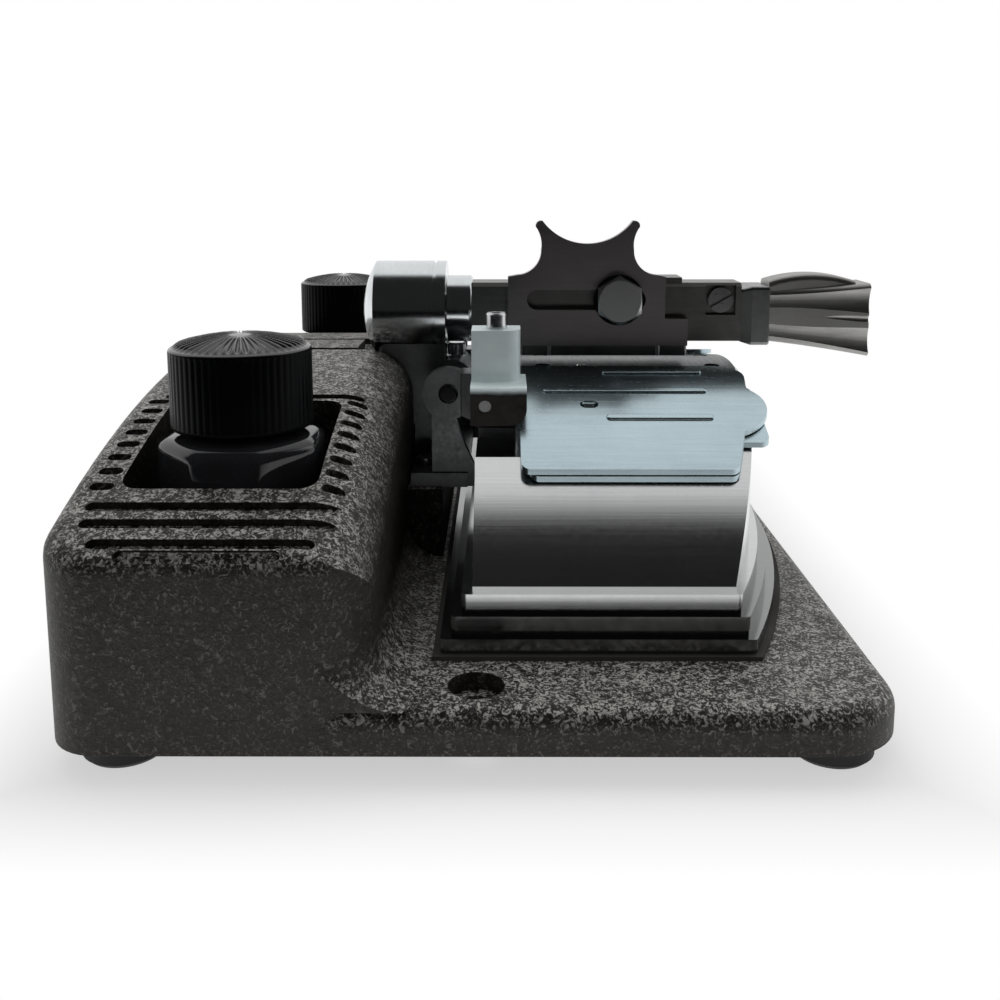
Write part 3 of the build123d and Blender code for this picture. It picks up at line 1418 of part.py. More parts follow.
    with BuildPart() as tension_screw:
        with BuildSketch(Plane.XY.offset(upright_top)):
            with Locations((tension_screw_x, s * tension_screw_y)):
                Circle(tension_screw_radius)
        extrude(amount=tension_screw_rise)
        chamfer(edges().group_by(Axis.Z)[-1], 0.4)
        with BuildSketch(Plane.XY.offset(upright_top + tension_screw_rise)):
            with Locations((tension_screw_x, s * tension_screw_y)):
                RegularPolygon(tension_screw_radius / 2, 6)
        extrude(amount=-tension_screw_rise / 2, mode=Mode.SUBTRACT)
        with BuildSketch(Plane.XY.offset(upright_top)):
            with Locations((tension_screw_x, s * tension_screw_y)):
                Circle(tension_screw_shank)
        extrude(amount=-tension_screw_bite)
    save(tension_screw, f"{side}_tension_screw")

# ---- Bottles, their caps and the applicators the caps carry ----

bottle_bottom = well_bottom + bottle_stand
cap_inside = cap_bottom + cap_bore_depth
liner_bottom = cap_inside - liner_thickness
neck_top = liner_bottom - seat_gap

for s, side in sides:
    with BuildPart() as bottle:
        with BuildSketch(Plane.XY.offset(bottle_bottom)):
            with Locations((hump_middle, s * bottle_y)):
                RegularPolygon(bottle_flats / 2, 8, major_radius=False, rotation=22.5)
        extrude(amount=shoulder_z - bottle_bottom)
        chamfer(edges().group_by(Axis.Z)[-1], shoulder_bevel)
        chamfer(edges().group_by(Axis.Z)[0], bottle_heel)
        with BuildSketch(Plane.XY.offset(shoulder_z)):
            with Locations((hump_middle, s * bottle_y)):
                Circle(bottle_neck_radius)
        extrude(amount=neck_top - shoulder_z)
        with BuildSketch(Plane.XY.offset(bottle_bottom + bottle_wall)):
            with Locations((hump_middle, s * bottle_y)):
                RegularPolygon(bottle_flats / 2 - bottle_wall, 8, major_radius=False, rotation=22.5)
        extrude(amount=shoulder_z - bottle_bottom - 2 * bottle_wall, mode=Mode.SUBTRACT)
        with BuildSketch(Plane.XY.offset(neck_top)):
            with Locations((hump_middle, s * bottle_y)):
                Circle(bottle_mouth_radius)
        extrude(amount=shoulder_z - 2 * bottle_wall - neck_top, mode=Mode.SUBTRACT)
    save(bottle, f"{side}_bottle")

    with BuildPart() as cap:
        with BuildSketch(Plane.XZ.offset(-s * bottle_y)):
            cap_top = cap_bottom + cap_height
            with BuildLine():
                Polyline(
                    (hump_middle, cap_top + cap_dome), (hump_middle, cap_inside),
                    (hump_middle + bottle_neck_radius + seat_gap, cap_inside),
                    (hump_middle + bottle_neck_radius + seat_gap, cap_bottom),
                    (hump_middle + cap_radius, cap_bottom), (hump_middle + cap_radius, cap_top)
                )
                dome_radius = (cap_radius ** 2 + cap_dome ** 2) / (2 * cap_dome)
                dome_side = cap_top + cap_dome - dome_radius + sqrt(dome_radius ** 2 - (cap_radius / 2) ** 2)
                ThreePointArc(
                    (hump_middle + cap_radius, cap_top), (hump_middle + cap_radius / 2, dome_side),
                    (hump_middle, cap_top + cap_dome)
                )
            make_face()
        revolve(axis=Axis((hump_middle, s * bottle_y, 0), (0, 0, 1)))
    save(cap, f"{side}_cap")

    with BuildPart() as applicator:
        with BuildSketch(Plane.XY.offset(liner_bottom)):
            with Locations((hump_middle, s * bottle_y)):
                Circle(liner_radius)
        extrude(amount=liner_thickness)
        with BuildSketch(Plane.XY.offset(liner_bottom)):
            with Locations((hump_middle, s * bottle_y)):
                Circle(rod_radius)
        extrude(amount=-rod_length)
        fillet(edges().group_by(Axis.Z)[0], rod_radius * 0.8)
    save(applicator, f"{side}_applicator")
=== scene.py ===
import math

import bpy
import numpy as np
from mathutils import Euler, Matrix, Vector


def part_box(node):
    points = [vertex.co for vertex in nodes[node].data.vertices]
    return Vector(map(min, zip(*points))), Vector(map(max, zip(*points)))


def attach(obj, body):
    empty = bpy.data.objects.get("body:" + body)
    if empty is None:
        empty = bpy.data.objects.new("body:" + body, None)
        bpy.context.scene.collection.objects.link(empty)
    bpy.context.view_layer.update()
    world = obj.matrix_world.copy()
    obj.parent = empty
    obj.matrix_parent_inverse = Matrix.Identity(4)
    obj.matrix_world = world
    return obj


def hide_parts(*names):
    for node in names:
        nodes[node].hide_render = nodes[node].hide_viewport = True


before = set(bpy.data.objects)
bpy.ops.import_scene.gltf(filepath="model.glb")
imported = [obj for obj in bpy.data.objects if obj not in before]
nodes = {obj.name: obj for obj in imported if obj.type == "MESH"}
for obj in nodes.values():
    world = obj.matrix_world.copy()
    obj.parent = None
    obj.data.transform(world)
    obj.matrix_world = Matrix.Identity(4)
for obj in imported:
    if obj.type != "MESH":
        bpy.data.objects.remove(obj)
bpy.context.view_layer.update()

print("frame loaded:", len(nodes), "nodes")

# Materials: every pattern is worked out from Object coordinates, so its scales are per metre


def startMaterial(name):
    material = bpy.data.materials.new(name)
    material.use_nodes = True
    tree = material.node_tree
    tree.nodes.clear()
    out = tree.nodes.new("ShaderNodeOutputMaterial")
    shader = tree.nodes.new("ShaderNodeBsdfPrincipled")
    tree.links.new(shader.outputs[0], out.inputs[0])
    return material, tree, shader


def setInput(tree, socket, value):
    # A socket is fed by another socket, or else holds a plain value
    if isinstance(value, bpy.types.NodeSocket):
        tree.links.new(value, socket)
    else:
        socket.default_value = value


def addNode(tree, kind, settings=None, **inputs):
    # One node with its settings; i0, i1 and so on are inputs by number, and To_Min is "To Min"
    node = tree.nodes.new(kind)
    for key, value in (settings or {}).items():
        setattr(node, key, value)
    for key, value in inputs.items():
        byNumber = key[0] == "i" and key[1:].isdigit()
        setInput(tree, node.inputs[int(key[1:]) if byNumber else key.replace("_", " ")], value)
    return node


def objectPlace(tree, scale=(1, 1, 1)):
    coordinates = tree.nodes.new("ShaderNodeTexCoord").outputs["Object"]
    return addNode(tree, "ShaderNodeMapping", Scale=scale, Vector=coordinates).outputs[0]


def heightOf(tree, place):
    return addNode(tree, "ShaderNodeSeparateXYZ", Vector=place).outputs[2]


midNoise = (0.3, 0.7)  # most of a noise's values lie between these


def noise(tree, place, scale, detail=3.0, rough=0.5, warp=0.0):
    node = addNode(tree, "ShaderNodeTexNoise", Vector=place, Scale=scale, Detail=detail,
                   Roughness=rough, Distortion=warp)
    return node.outputs["Fac"]


def ramp(tree, factor, stops):
    # A colour ramp from (position, colour) stops
    node = addNode(tree, "ShaderNodeValToRGB", Fac=factor)
    band = node.color_ramp
    while len(band.elements) < len(stops):
        band.elements.new(0.5)
    for element, (position, colour) in zip(band.elements, stops):
        element.position = position
        element.color = (*colour, 1)
    return node.outputs[0]


def spread(tree, factor, to, over=(0.0, 1.0)):
    # The factor's range "over" stretched to the range "to", and held at its ends
    return addNode(tree, "ShaderNodeMapRange", Value=factor, From_Min=over[0], From_Max=over[1],
                   To_Min=to[0], To_Max=to[1]).outputs[0]


def mixColour(tree, factor, first, second, blend="MIX"):
    node = addNode(tree, "ShaderNodeMix", {"data_type": "RGBA", "blend_type": blend}, i0=factor)
    for socket, value in ((node.inputs[6], first), (node.inputs[7], second)):
        setInput(tree, socket, (*value, 1) if isinstance(value, tuple) else value)
    return node.outputs[2]


def maths(tree, operation, first, second=0.0):
    return addNode(tree, "ShaderNodeMath", {"operation": operation}, i0=first, i1=second).outputs[0]


def blendOf(tree, first, firstShare, second, secondShare):
    # Two factors, each times its share, added
    return maths(tree, "ADD", maths(tree, "MULTIPLY", first, firstShare),
                 maths(tree, "MULTIPLY", second, secondShare))


def bump(tree, shader, height, strength, distance):
    node = addNode(tree, "ShaderNodeBump", Height=height, Strength=strength, Distance=distance)
    tree.links.new(node.outputs[0], shader.inputs["Normal"])


cracklePaint = {
    "grain": 1800.0, "grainShare": 0.35, "wrinkle": 820.0, "wrinkleShare": 0.65,
    "blotch": 240.0, "blotchDrift": (-0.035, 0.035),
    "crack": 260.0, "crackWarp": 260.0, "crackBend": 0.0045, "crackWidth": 0.10, "crackDepth": 0.55,
    # The crest colours are a painted sheen, shown only where a face looks up; the side colours go
    # on the other faces
    "crest": ((0.41, (0.006, 0.0055, 0.005)), (0.49, (0.036, 0.034, 0.030)),
              (0.57, (0.46, 0.45, 0.425))),
    "side": ((0.36, (0.006, 0.0055, 0.0045)), (0.50, (0.0195, 0.017, 0.0138)),
             (0.60, (0.049, 0.043, 0.036))),
    # The next three entries set where the painted sheen on up-facing faces starts, where it is
    # full, and how it wavers
    "crestFrom": 0.15, "crestFull": 1.05, "crestDrift": (-0.30, 0.30),
    "rough": (0.36, 0.62), "metallic": 0.25, "strength": 1.0, "relief": 0.00034,
}


def makeCracklePaint(name, look):
    # Wrinkled enamel, dull brown with a net of dark cracks. Where a face looks up, a painted sheen,
    # as if lit from above, turns the crests of a fine grain silver
    material, tree, shader = startMaterial(name)
    place = objectPlace(tree)
    fine = noise(tree, place, look["grain"], detail=3.0, rough=0.6, warp=0.5)
    wrinkle = noise(tree, place, look["wrinkle"], detail=4.0, rough=0.62, warp=1.4)
    blotch = noise(tree, place, look["blotch"], detail=4.0, rough=0.65)
    height = blendOf(tree, fine, look["grainShare"], wrinkle, look["wrinkleShare"])
    drift = spread(tree, blotch, look["blotchDrift"], over=(0.32, 0.68))
    shifted = maths(tree, "ADD", height, drift)

    # Crack edges run between cells whose places are bent by a coloured noise
    warp = addNode(tree, "ShaderNodeTexNoise", Vector=place, Scale=look["crackWarp"], Detail=3.0)
    bend = addNode(tree, "ShaderNodeVectorMath", {"operation": "SCALE"}, i0=warp.outputs["Color"],
                   i3=look["crackBend"])
    bent = addNode(tree, "ShaderNodeVectorMath", {"operation": "ADD"}, i0=place, i1=bend.outputs[0])
    edges = addNode(tree, "ShaderNodeTexVoronoi", {"feature": "DISTANCE_TO_EDGE"},
                    Vector=bent.outputs[0], Scale=look["crack"]).outputs["Distance"]
    cracks = spread(tree, edges, (look["crackDepth"], 0.0), over=(0.0, look["crackWidth"]))

    # Painted sheen: faces that look up take the silver crest colours, as if lit from above, and the
    # other faces keep the duller side colours with cracks
    crests = ramp(tree, shifted, look["crest"])
    sides = mixColour(tree, cracks, ramp(tree, shifted, look["side"]), look["side"][0][1])
    up = heightOf(tree, addNode(tree, "ShaderNodeNewGeometry").outputs["Normal"])
    lifted = maths(tree, "ADD", up, spread(tree, wrinkle, look["crestDrift"], over=(0.35, 0.65)))
    crestShare = spread(tree, lifted, (0.0, 1.0), over=(look["crestFrom"], look["crestFull"]))
    tree.links.new(mixColour(tree, crestShare, sides, crests), shader.inputs["Base Color"])
    shader.inputs["Metallic"].default_value = look["metallic"]
    tree.links.new(spread(tree, fine, look["rough"]), shader.inputs["Roughness"])
    bump(tree, shader, height, look["strength"], look["relief"])
    return material


# Worked metals. The grain runs along axis 0, 1 or 2 and is drawn out by stretch; scratch is how
# deep it cuts, and stainDepth how much of the dark colour its stains take
metalLooks = {
    # The block's last two entries paint shade below one height, on its lower steps
    "block": {
        "name": "polishedBlock", "colour": (0.64, 0.65, 0.65), "dark": (0.44, 0.44, 0.445),
        "rough": 0.16, "axis": 0, "grain": 1500.0, "stretch": 90.0, "scratch": 0.10,
        "stain": 22.0, "stainDepth": 0.25, "paintedShadeBelow": 0.0265, "paintedShade": 0.42},
    "plate": {
        "name": "plateSteel", "colour": (0.52, 0.64, 0.685), "dark": (0.35, 0.44, 0.475),
        "rough": 0.24, "axis": 0, "grain": 1300.0, "stretch": 30.0, "scratch": 0.06,
        "stain": 34.0, "stainDepth": 0.35},
    "bed": {
        "name": "bedSteel", "colour": (0.075, 0.085, 0.09), "dark": (0.03, 0.033, 0.035),
        "rough": 0.34, "axis": 1, "grain": 1300.0, "stretch": 20.0, "scratch": 0.06,
        "stain": 60.0, "stainDepth": 0.5},
    "jaw": {
        "name": "jawSteel", "colour": (0.20, 0.205, 0.21), "dark": (0.06, 0.06, 0.062),
        "rough": 0.32, "axis": 2, "grain": 900.0, "stretch": 20.0, "scratch": 0.10,
        "stain": 90.0, "stainDepth": 0.6},
    "bracket": {
        "name": "bracketSteel", "colour": (0.30, 0.31, 0.315), "dark": (0.10, 0.10, 0.102),
        "rough": 0.34, "axis": 1, "grain": 900.0, "stretch": 12.0, "scratch": 0.10,
        "stain": 60.0, "stainDepth": 0.55},
    "bright": {
        "name": "brightSteel", "colour": (0.68, 0.70, 0.71), "dark": (0.42, 0.42, 0.43),
        "rough": 0.20, "axis": 1, "grain": 1800.0, "stretch": 40.0, "scratch": 0.08,
        "stain": 50.0, "stainDepth": 0.3},
    "housing": {
        "name": "turnedSteel", "colour": (0.74, 0.78, 0.79), "dark": (0.50, 0.52, 0.53),
        "rough": 0.15, "axis": 1, "grain": 1500.0, "stretch": 30.0, "scratch": 0.07,
        "stain": 70.0, "stainDepth": 0.35},
    "arm": {
        "name": "darkSteel", "colour": (0.22, 0.215, 0.21), "dark": (0.09, 0.087, 0.083),
        "rough": 0.36, "axis": 0, "grain": 1000.0, "stretch": 25.0, "scratch": 0.08,
        "stain": 80.0, "stainDepth": 0.5},
    "slide": {
        "name": "slideSteel", "colour": (0.31, 0.285, 0.29), "dark": (0.18, 0.162, 0.166),
        "rough": 0.38, "axis": 0, "grain": 1100.0, "stretch": 12.0, "scratch": 0.06,
        "stain": 45.0, "stainDepth": 0.4},
    "handle": {
        "name": "handleAlloy", "colour": (0.44, 0.437, 0.425), "dark": (0.24, 0.232, 0.215),
        "rough": 0.42, "axis": 0, "grain": 1300.0, "stretch": 50.0, "scratch": 0.10,
        "stain": 60.0, "stainDepth": 0.4},
    "ferrule": {
        "name": "ferruleSteel", "colour": (0.30, 0.305, 0.305), "dark": (0.14, 0.14, 0.14),
        "rough": 0.33, "axis": 1, "grain": 1300.0, "stretch": 20.0, "scratch": 0.10,
        "stain": 60.0, "stainDepth": 0.4},
    "screw": {
        "name": "screwSteel", "colour": (0.44, 0.445, 0.445), "dark": (0.22, 0.22, 0.22),
        "rough": 0.30, "axis": 0, "grain": 1600.0, "stretch": 8.0, "scratch": 0.10,
        "stain": 90.0, "stainDepth": 0.35},
    "bolt": {
        "name": "boltSteel", "colour": (0.52, 0.525, 0.53), "dark": (0.30, 0.30, 0.30),
        "rough": 0.34, "axis": 2, "grain": 1800.0, "stretch": 6.0, "scratch": 0.12,
        "stain": 60.0, "stainDepth": 0.3},
    "cover": {
        "name": "coverSteel", "colour": (0.30, 0.30, 0.31), "dark": (0.16, 0.16, 0.165),
        "rough": 0.45, "axis": 1, "grain": 800.0, "stretch": 40.0, "scratch": 0.12,
        "stain": 25.0, "stainDepth": 0.5},
    "blade": {
        "name": "groundSteel", "colour": (0.62, 0.63, 0.64), "dark": (0.36, 0.36, 0.37),
        "rough": 0.2, "axis": 0, "grain": 2400.0, "stretch": 60.0, "scratch": 0.1,
        "stain": 70.0, "stainDepth": 0.3},
    "bronze": {
        "name": "bronzeBush", "colour": (0.62, 0.42, 0.20), "dark": (0.32, 0.20, 0.08),
        "rough": 0.35, "axis": 0, "grain": 900.0, "stretch": 10.0, "scratch": 0.12,
        "stain": 90.0, "stainDepth": 0.4},
    "sheath": {
        "name": "heaterSheath", "colour": (0.52, 0.50, 0.46), "dark": (0.22, 0.19, 0.15),
        "rough": 0.4, "axis": 1, "grain": 900.0, "stretch": 30.0, "scratch": 0.1,
        "stain": 60.0, "stainDepth": 0.5},
}
metalSkin = {
    "scratchShare": 0.14, "specks": 900.0, "speckRough": (-0.012, 0.02), "polish": (0.88, 1.15),
    "paintedShadeBlend": 0.0008, "relief": 0.00006,
}


def makeMetal(look, skin):
    # Worked metal: fine scratches along one axis, faint stains, an uneven polish and, on the block,
    # painted shade below one height
    material, tree, shader = startMaterial(look["name"])
    scale = [1.0, 1.0, 1.0]
    scale[look["axis"]] = 1.0 / look["stretch"]
    lines = noise(tree, objectPlace(tree, scale), look["grain"], detail=4.0, rough=0.65)
    patches = noise(tree, objectPlace(tree), look["stain"], detail=5.0, rough=0.65, warp=0.4)
    specks = noise(tree, objectPlace(tree), skin["specks"], detail=2.0)
    wear = blendOf(tree, spread(tree, patches, (0.0, 1.0), over=(0.3, 0.72)), look["stainDepth"],
                   spread(tree, lines, (0.0, 1.0), over=(0.35, 0.65)), skin["scratchShare"])
    worn = mixColour(tree, wear, look["colour"], look["dark"])
    if "paintedShade" in look:
        # Painted shade below one height, on the block's lower steps
        level, blend = look["paintedShadeBelow"], skin["paintedShadeBlend"]
        paintedShade = spread(tree, heightOf(tree, objectPlace(tree)), (look["paintedShade"], 1.0),
                       over=(level - blend, level + blend))
        grey = addNode(tree, "ShaderNodeCombineXYZ", X=paintedShade, Y=paintedShade, Z=paintedShade).outputs[0]
        worn = mixColour(tree, 1.0, worn, grey, "MULTIPLY")
    tree.links.new(worn, shader.inputs["Base Color"])
    shader.inputs["Metallic"].default_value = 1.0
    polish = [look["rough"] * share for share in skin["polish"]]
    rough = maths(tree, "ADD", spread(tree, lines, polish, over=midNoise),
                  spread(tree, specks, skin["speckRough"], over=midNoise))
    tree.links.new(rough, shader.inputs["Roughness"])
    bump(tree, shader, lines, look["scratch"], skin["relief"])
    return material


hingeSteel = {
    "pale": (0.80, 0.90, 0.91), "paleShade": (0.72, 0.82, 0.83),
    "dark": (0.050, 0.047, 0.042), "darkShade": (0.018, 0.017, 0.015),
    "level": 0.0650, "blend": 0.0006, "waver": (-0.0003, 0.0003), "waverScale": 260.0,
    "stain": 130.0, "pits": 1500.0, "rough": 0.42, "polish": (0.8, 1.3), "metallic": (0.75, 0.25),
    "strength": 0.15, "relief": 0.0001,
}


def makeHingeSteel(name, look):
    # A blasted pale upright on a blackened knuckle: the two meet at one height, with oil stains
    # and fine pits in both
    material, tree, shader = startMaterial(name)
    place = objectPlace(tree)
    waver = spread(tree, noise(tree, place, look["waverScale"]), look["waver"])
    edge = maths(tree, "ADD", heightOf(tree, place), waver)
    meeting = (look["level"] - look["blend"], look["level"] + look["blend"])
    above = spread(tree, edge, (0.0, 1.0), over=meeting)
    patches = noise(tree, place, look["stain"], detail=5.0, rough=0.65, warp=0.4)
    stains = spread(tree, patches, (0.0, 1.0), over=(0.35, 0.7))
    pits = noise(tree, place, look["pits"], rough=0.6)
    upper = mixColour(tree, stains, look["pale"], look["paleShade"])
    lower = mixColour(tree, stains, look["dark"], look["darkShade"])
    tree.links.new(mixColour(tree, above, lower, upper), shader.inputs["Base Color"])
    tree.links.new(spread(tree, above, look["metallic"]), shader.inputs["Metallic"])
    polish = [look["rough"] * share for share in look["polish"]]
    tree.links.new(spread(tree, pits, polish, over=midNoise), shader.inputs["Roughness"])
    bump(tree, shader, pits, look["strength"], look["relief"])
    return material


# Plastics and rubbers; gloss is the specular level
mouldedLooks = {
    "rubber": {
        "name": "blackRubber", "colour": (0.010, 0.010, 0.010), "rough": 0.62,
        "grain": 900.0, "relief": 0.00008, "strength": 0.35, "gloss": 0.5},
    "gasket": {
        "name": "gasketSheet", "colour": (0.030, 0.028, 0.026), "rough": 0.8,
        "grain": 1200.0, "relief": 0.0001, "strength": 0.5, "gloss": 0.5},
    "domes": {
        "name": "capBlack", "colour": (0.003, 0.003, 0.003), "rough": 0.16,
        "grain": 900.0, "relief": 0.00003, "strength": 0.15, "gloss": 0.5},
    "cap": {
        "name": "bottleCapBlack", "colour": (0.0010, 0.0012, 0.0013), "rough": 0.30,
        "grain": 700.0, "relief": 0.00003, "strength": 0.10, "gloss": 0.05},
    "capTop": {
        "name": "bottleCapTop", "colour": (0.0020, 0.0022, 0.0024), "rough": 0.16,
        "grain": 700.0, "relief": 0.00003, "strength": 0.12, "gloss": 0.85},
    "electrical": {
        "name": "paleMoulding", "colour": (0.55, 0.50, 0.40), "rough": 0.55,
        "grain": 600.0, "relief": 0.00005, "strength": 0.3, "gloss": 0.5},
    "lead": {
        "name": "leadSleeve", "colour": (0.50, 0.05, 0.035), "rough": 0.5,
        "grain": 1500.0, "relief": 0.00006, "strength": 0.4, "gloss": 0.5},
}
mouldedSkin = {"drift": 45.0, "paler": 1.5, "lift": 0.001, "polish": (0.8, 1.25)}


def makeMoulded(look, skin):
    # Moulded plastic or rubber: one colour that drifts a little, a fine skin and uneven gloss
    material, tree, shader = startMaterial(look["name"])
    place = objectPlace(tree)
    drift = noise(tree, place, skin["drift"], detail=4.0, rough=0.6)
    grain = noise(tree, place, look["grain"], rough=0.6)
    pale = tuple(min(1.0, c * skin["paler"] + skin["lift"]) for c in look["colour"])
    share = spread(tree, drift, (0.0, 1.0), over=midNoise)
    tree.links.new(mixColour(tree, share, look["colour"], pale), shader.inputs["Base Color"])
    polish = [look["rough"] * part for part in skin["polish"]]
    tree.links.new(spread(tree, drift, polish, over=midNoise), shader.inputs["Roughness"])
    shader.inputs["Specular IOR Level"].default_value = look["gloss"]
    bump(tree, shader, grain, look["strength"], look["relief"])
    return material


darkGlass = {
    "colour": (0.028, 0.029, 0.032), "deepShare": 0.5, "waves": 60.0, "rough": (0.03, 0.09),
    "clear": 0.35, "ior": 1.5, "strength": 0.12, "relief": 0.0008,
}


def makeDarkGlass(name, look):
    # Nearly black glass with slow waves in its surface
    material, tree, shader = startMaterial(name)
    waves = noise(tree, objectPlace(tree), look["waves"], detail=2.0)
    deep = tuple(c * look["deepShare"] for c in look["colour"])
    share = spread(tree, waves, (0.0, 1.0), over=midNoise)
    tree.links.new(mixColour(tree, share, look["colour"], deep), shader.inputs["Base Color"])
    tree.links.new(spread(tree, waves, look["rough"], over=midNoise), shader.inputs["Roughness"])
    shader.inputs["Transmission Weight"].default_value = look["clear"]
    shader.inputs["IOR"].default_value = look["ior"]
    bump(tree, shader, waves, look["strength"], look["relief"])
    return material


finishes = {
    "crackle": makeCracklePaint("cracklePaint", cracklePaint),
    "hinge": makeHingeSteel("hingeSteel", hingeSteel),
    "glass": makeDarkGlass("darkGlass", darkGlass),
}
finishes.update({finish: makeMetal(look, metalSkin) for finish, look in metalLooks.items()})
finishes.update({finish: makeMoulded(look, mouldedSkin) for finish, look in mouldedLooks.items()})

# The finish of each CAD node, and of each node that comes as a left and a right one
nodeFinish = {
    "base_casting": "crackle", "bottom_cover": "cover", "cover_screws": "screw",
    "rubber_feet": "rubber", "foot_screws": "screw", "cord_grommet": "rubber",
    "block_gasket": "gasket", "film_block": "block", "block_screws": "screw",
    "heater_cartridge": "sheath", "thermostat": "electrical", "terminal_block": "electrical",
    "heater_leads": "lead", "centre_bed": "bed", "bed_screws": "screw", "bed_pins": "bright",
    "hinge_bracket": "bracket", "bracket_screws": "screw", "main_shaft": "bright",
    "shaft_caps": "domes", "shaft_spacers": "screw", "arm_post": "bracket",
    "bearing_housing": "housing", "arm_bushes": "bronze", "stop_screw": "bright",
    "arm_shaft": "housing", "arm_bar": "arm", "arm_ferrule": "ferrule", "arm_handle": "handle",
    "handle_screw": "screw", "slide_bolt": "bolt", "bolt_washer": "domes",
    "scraper_slide": "slide", "scraper_foot": "arm", "scraper_blade": "blade",
    "slide_screws": "screw",
}
sideFinish = {
    "jaw_body": "jaw", "film_plate": "plate", "plate_screws": "screw", "film_pin": "bright",
    "hinge_pin": "screw", "pressure_plate": "plate", "hinge_block": "hinge",
    "clamp_screws": "screw", "tension_screw": "bright", "bottle": "glass", "cap": "cap",
    "applicator": "domes",
}
for side in ("left", "right"):
    nodeFinish.update({f"{side}_{piece}": finish for piece, finish in sideFinish.items()})


def dress(thing, finish):
    thing.data.materials.clear()
    thing.data.materials.append(finishes[finish])


for name, thing in nodes.items():
    dress(thing, nodeFinish[name])
print("materials on", len(nodes), "nodes")

# Caps and bottles, as surfaces of height and angle


def turnedMesh(name, points, finish, body, replaced):
    # A (levels, angles, 3) grid of points as a closed mesh: faces join each level to the next all
    # the way round, and a pole at the middle of the first and last level closes the ends
    rows, columns = points.shape[:2]
    a, b = np.meshgrid(np.arange(rows - 1), np.arange(columns), indexing="ij")
    nextB = (b + 1) % columns
    faces = np.stack([a * columns + b, a * columns + nextB, (a + 1) * columns + nextB,
                      (a + 1) * columns + b], axis=-1)
    vertices = np.vstack([points.reshape(-1, 3), points[0].mean(axis=0), points[-1].mean(axis=0)])
    ring = np.arange(columns)
    following = (ring + 1) % columns
    firstPole = np.full(columns, rows * columns)
    lastRow = (rows - 1) * columns
    faceList = faces.reshape(-1, 4).tolist()
    faceList += np.stack([firstPole, following, ring], axis=-1).tolist()
    faceList += np.stack([firstPole + 1, lastRow + ring, lastRow + following], axis=-1).tolist()
    mesh = bpy.data.meshes.new(name)
    mesh.from_pydata(vertices.tolist(), [], faceList)
    mesh.polygons.foreach_set("use_smooth", np.full(len(mesh.polygons), True))
    mesh.update()
    thing = bpy.data.objects.new(name, mesh)
    bpy.context.scene.collection.objects.link(thing)
    dress(thing, finish)
    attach(thing, body)
    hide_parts(replaced)
    return thing


def alongProfile(profile, counts):
    # Points along straight runs between profile corners, so many to each run
    runs = [np.linspace(profile[i], profile[i + 1], counts[i], endpoint=False)
            for i in range(len(profile) - 1)]
    return np.vstack(runs + [np.array(profile[-1:], dtype=float)])


bottleCap = {
    "sides": 360, "edgeRound": 0.0009, "dome": 0.0025, "bore": 0.0108, "boreDepth": 0.0145,
    "chamfer": 0.0003, "pole": 0.0004, "glossFrom": 0.5,
    "ribs": 48, "ribHeight": 0.00042, "ribStart": 0.0025, "ribEnd": 0.0150,
    "ribRise": 0.003, "ribFall": 0.0012,
    "grooveAt": 0.0152, "grooveHalf": 0.0006, "grooveDepth": 0.0003,
    "flutes": 60, "fluteDepth": 0.00013, "fluteStart": 0.001,
    "wallRows": 24, "edgeRows": 7, "domeRows": 40, "boreRows": (6, 10, 2, 4, 2),
}


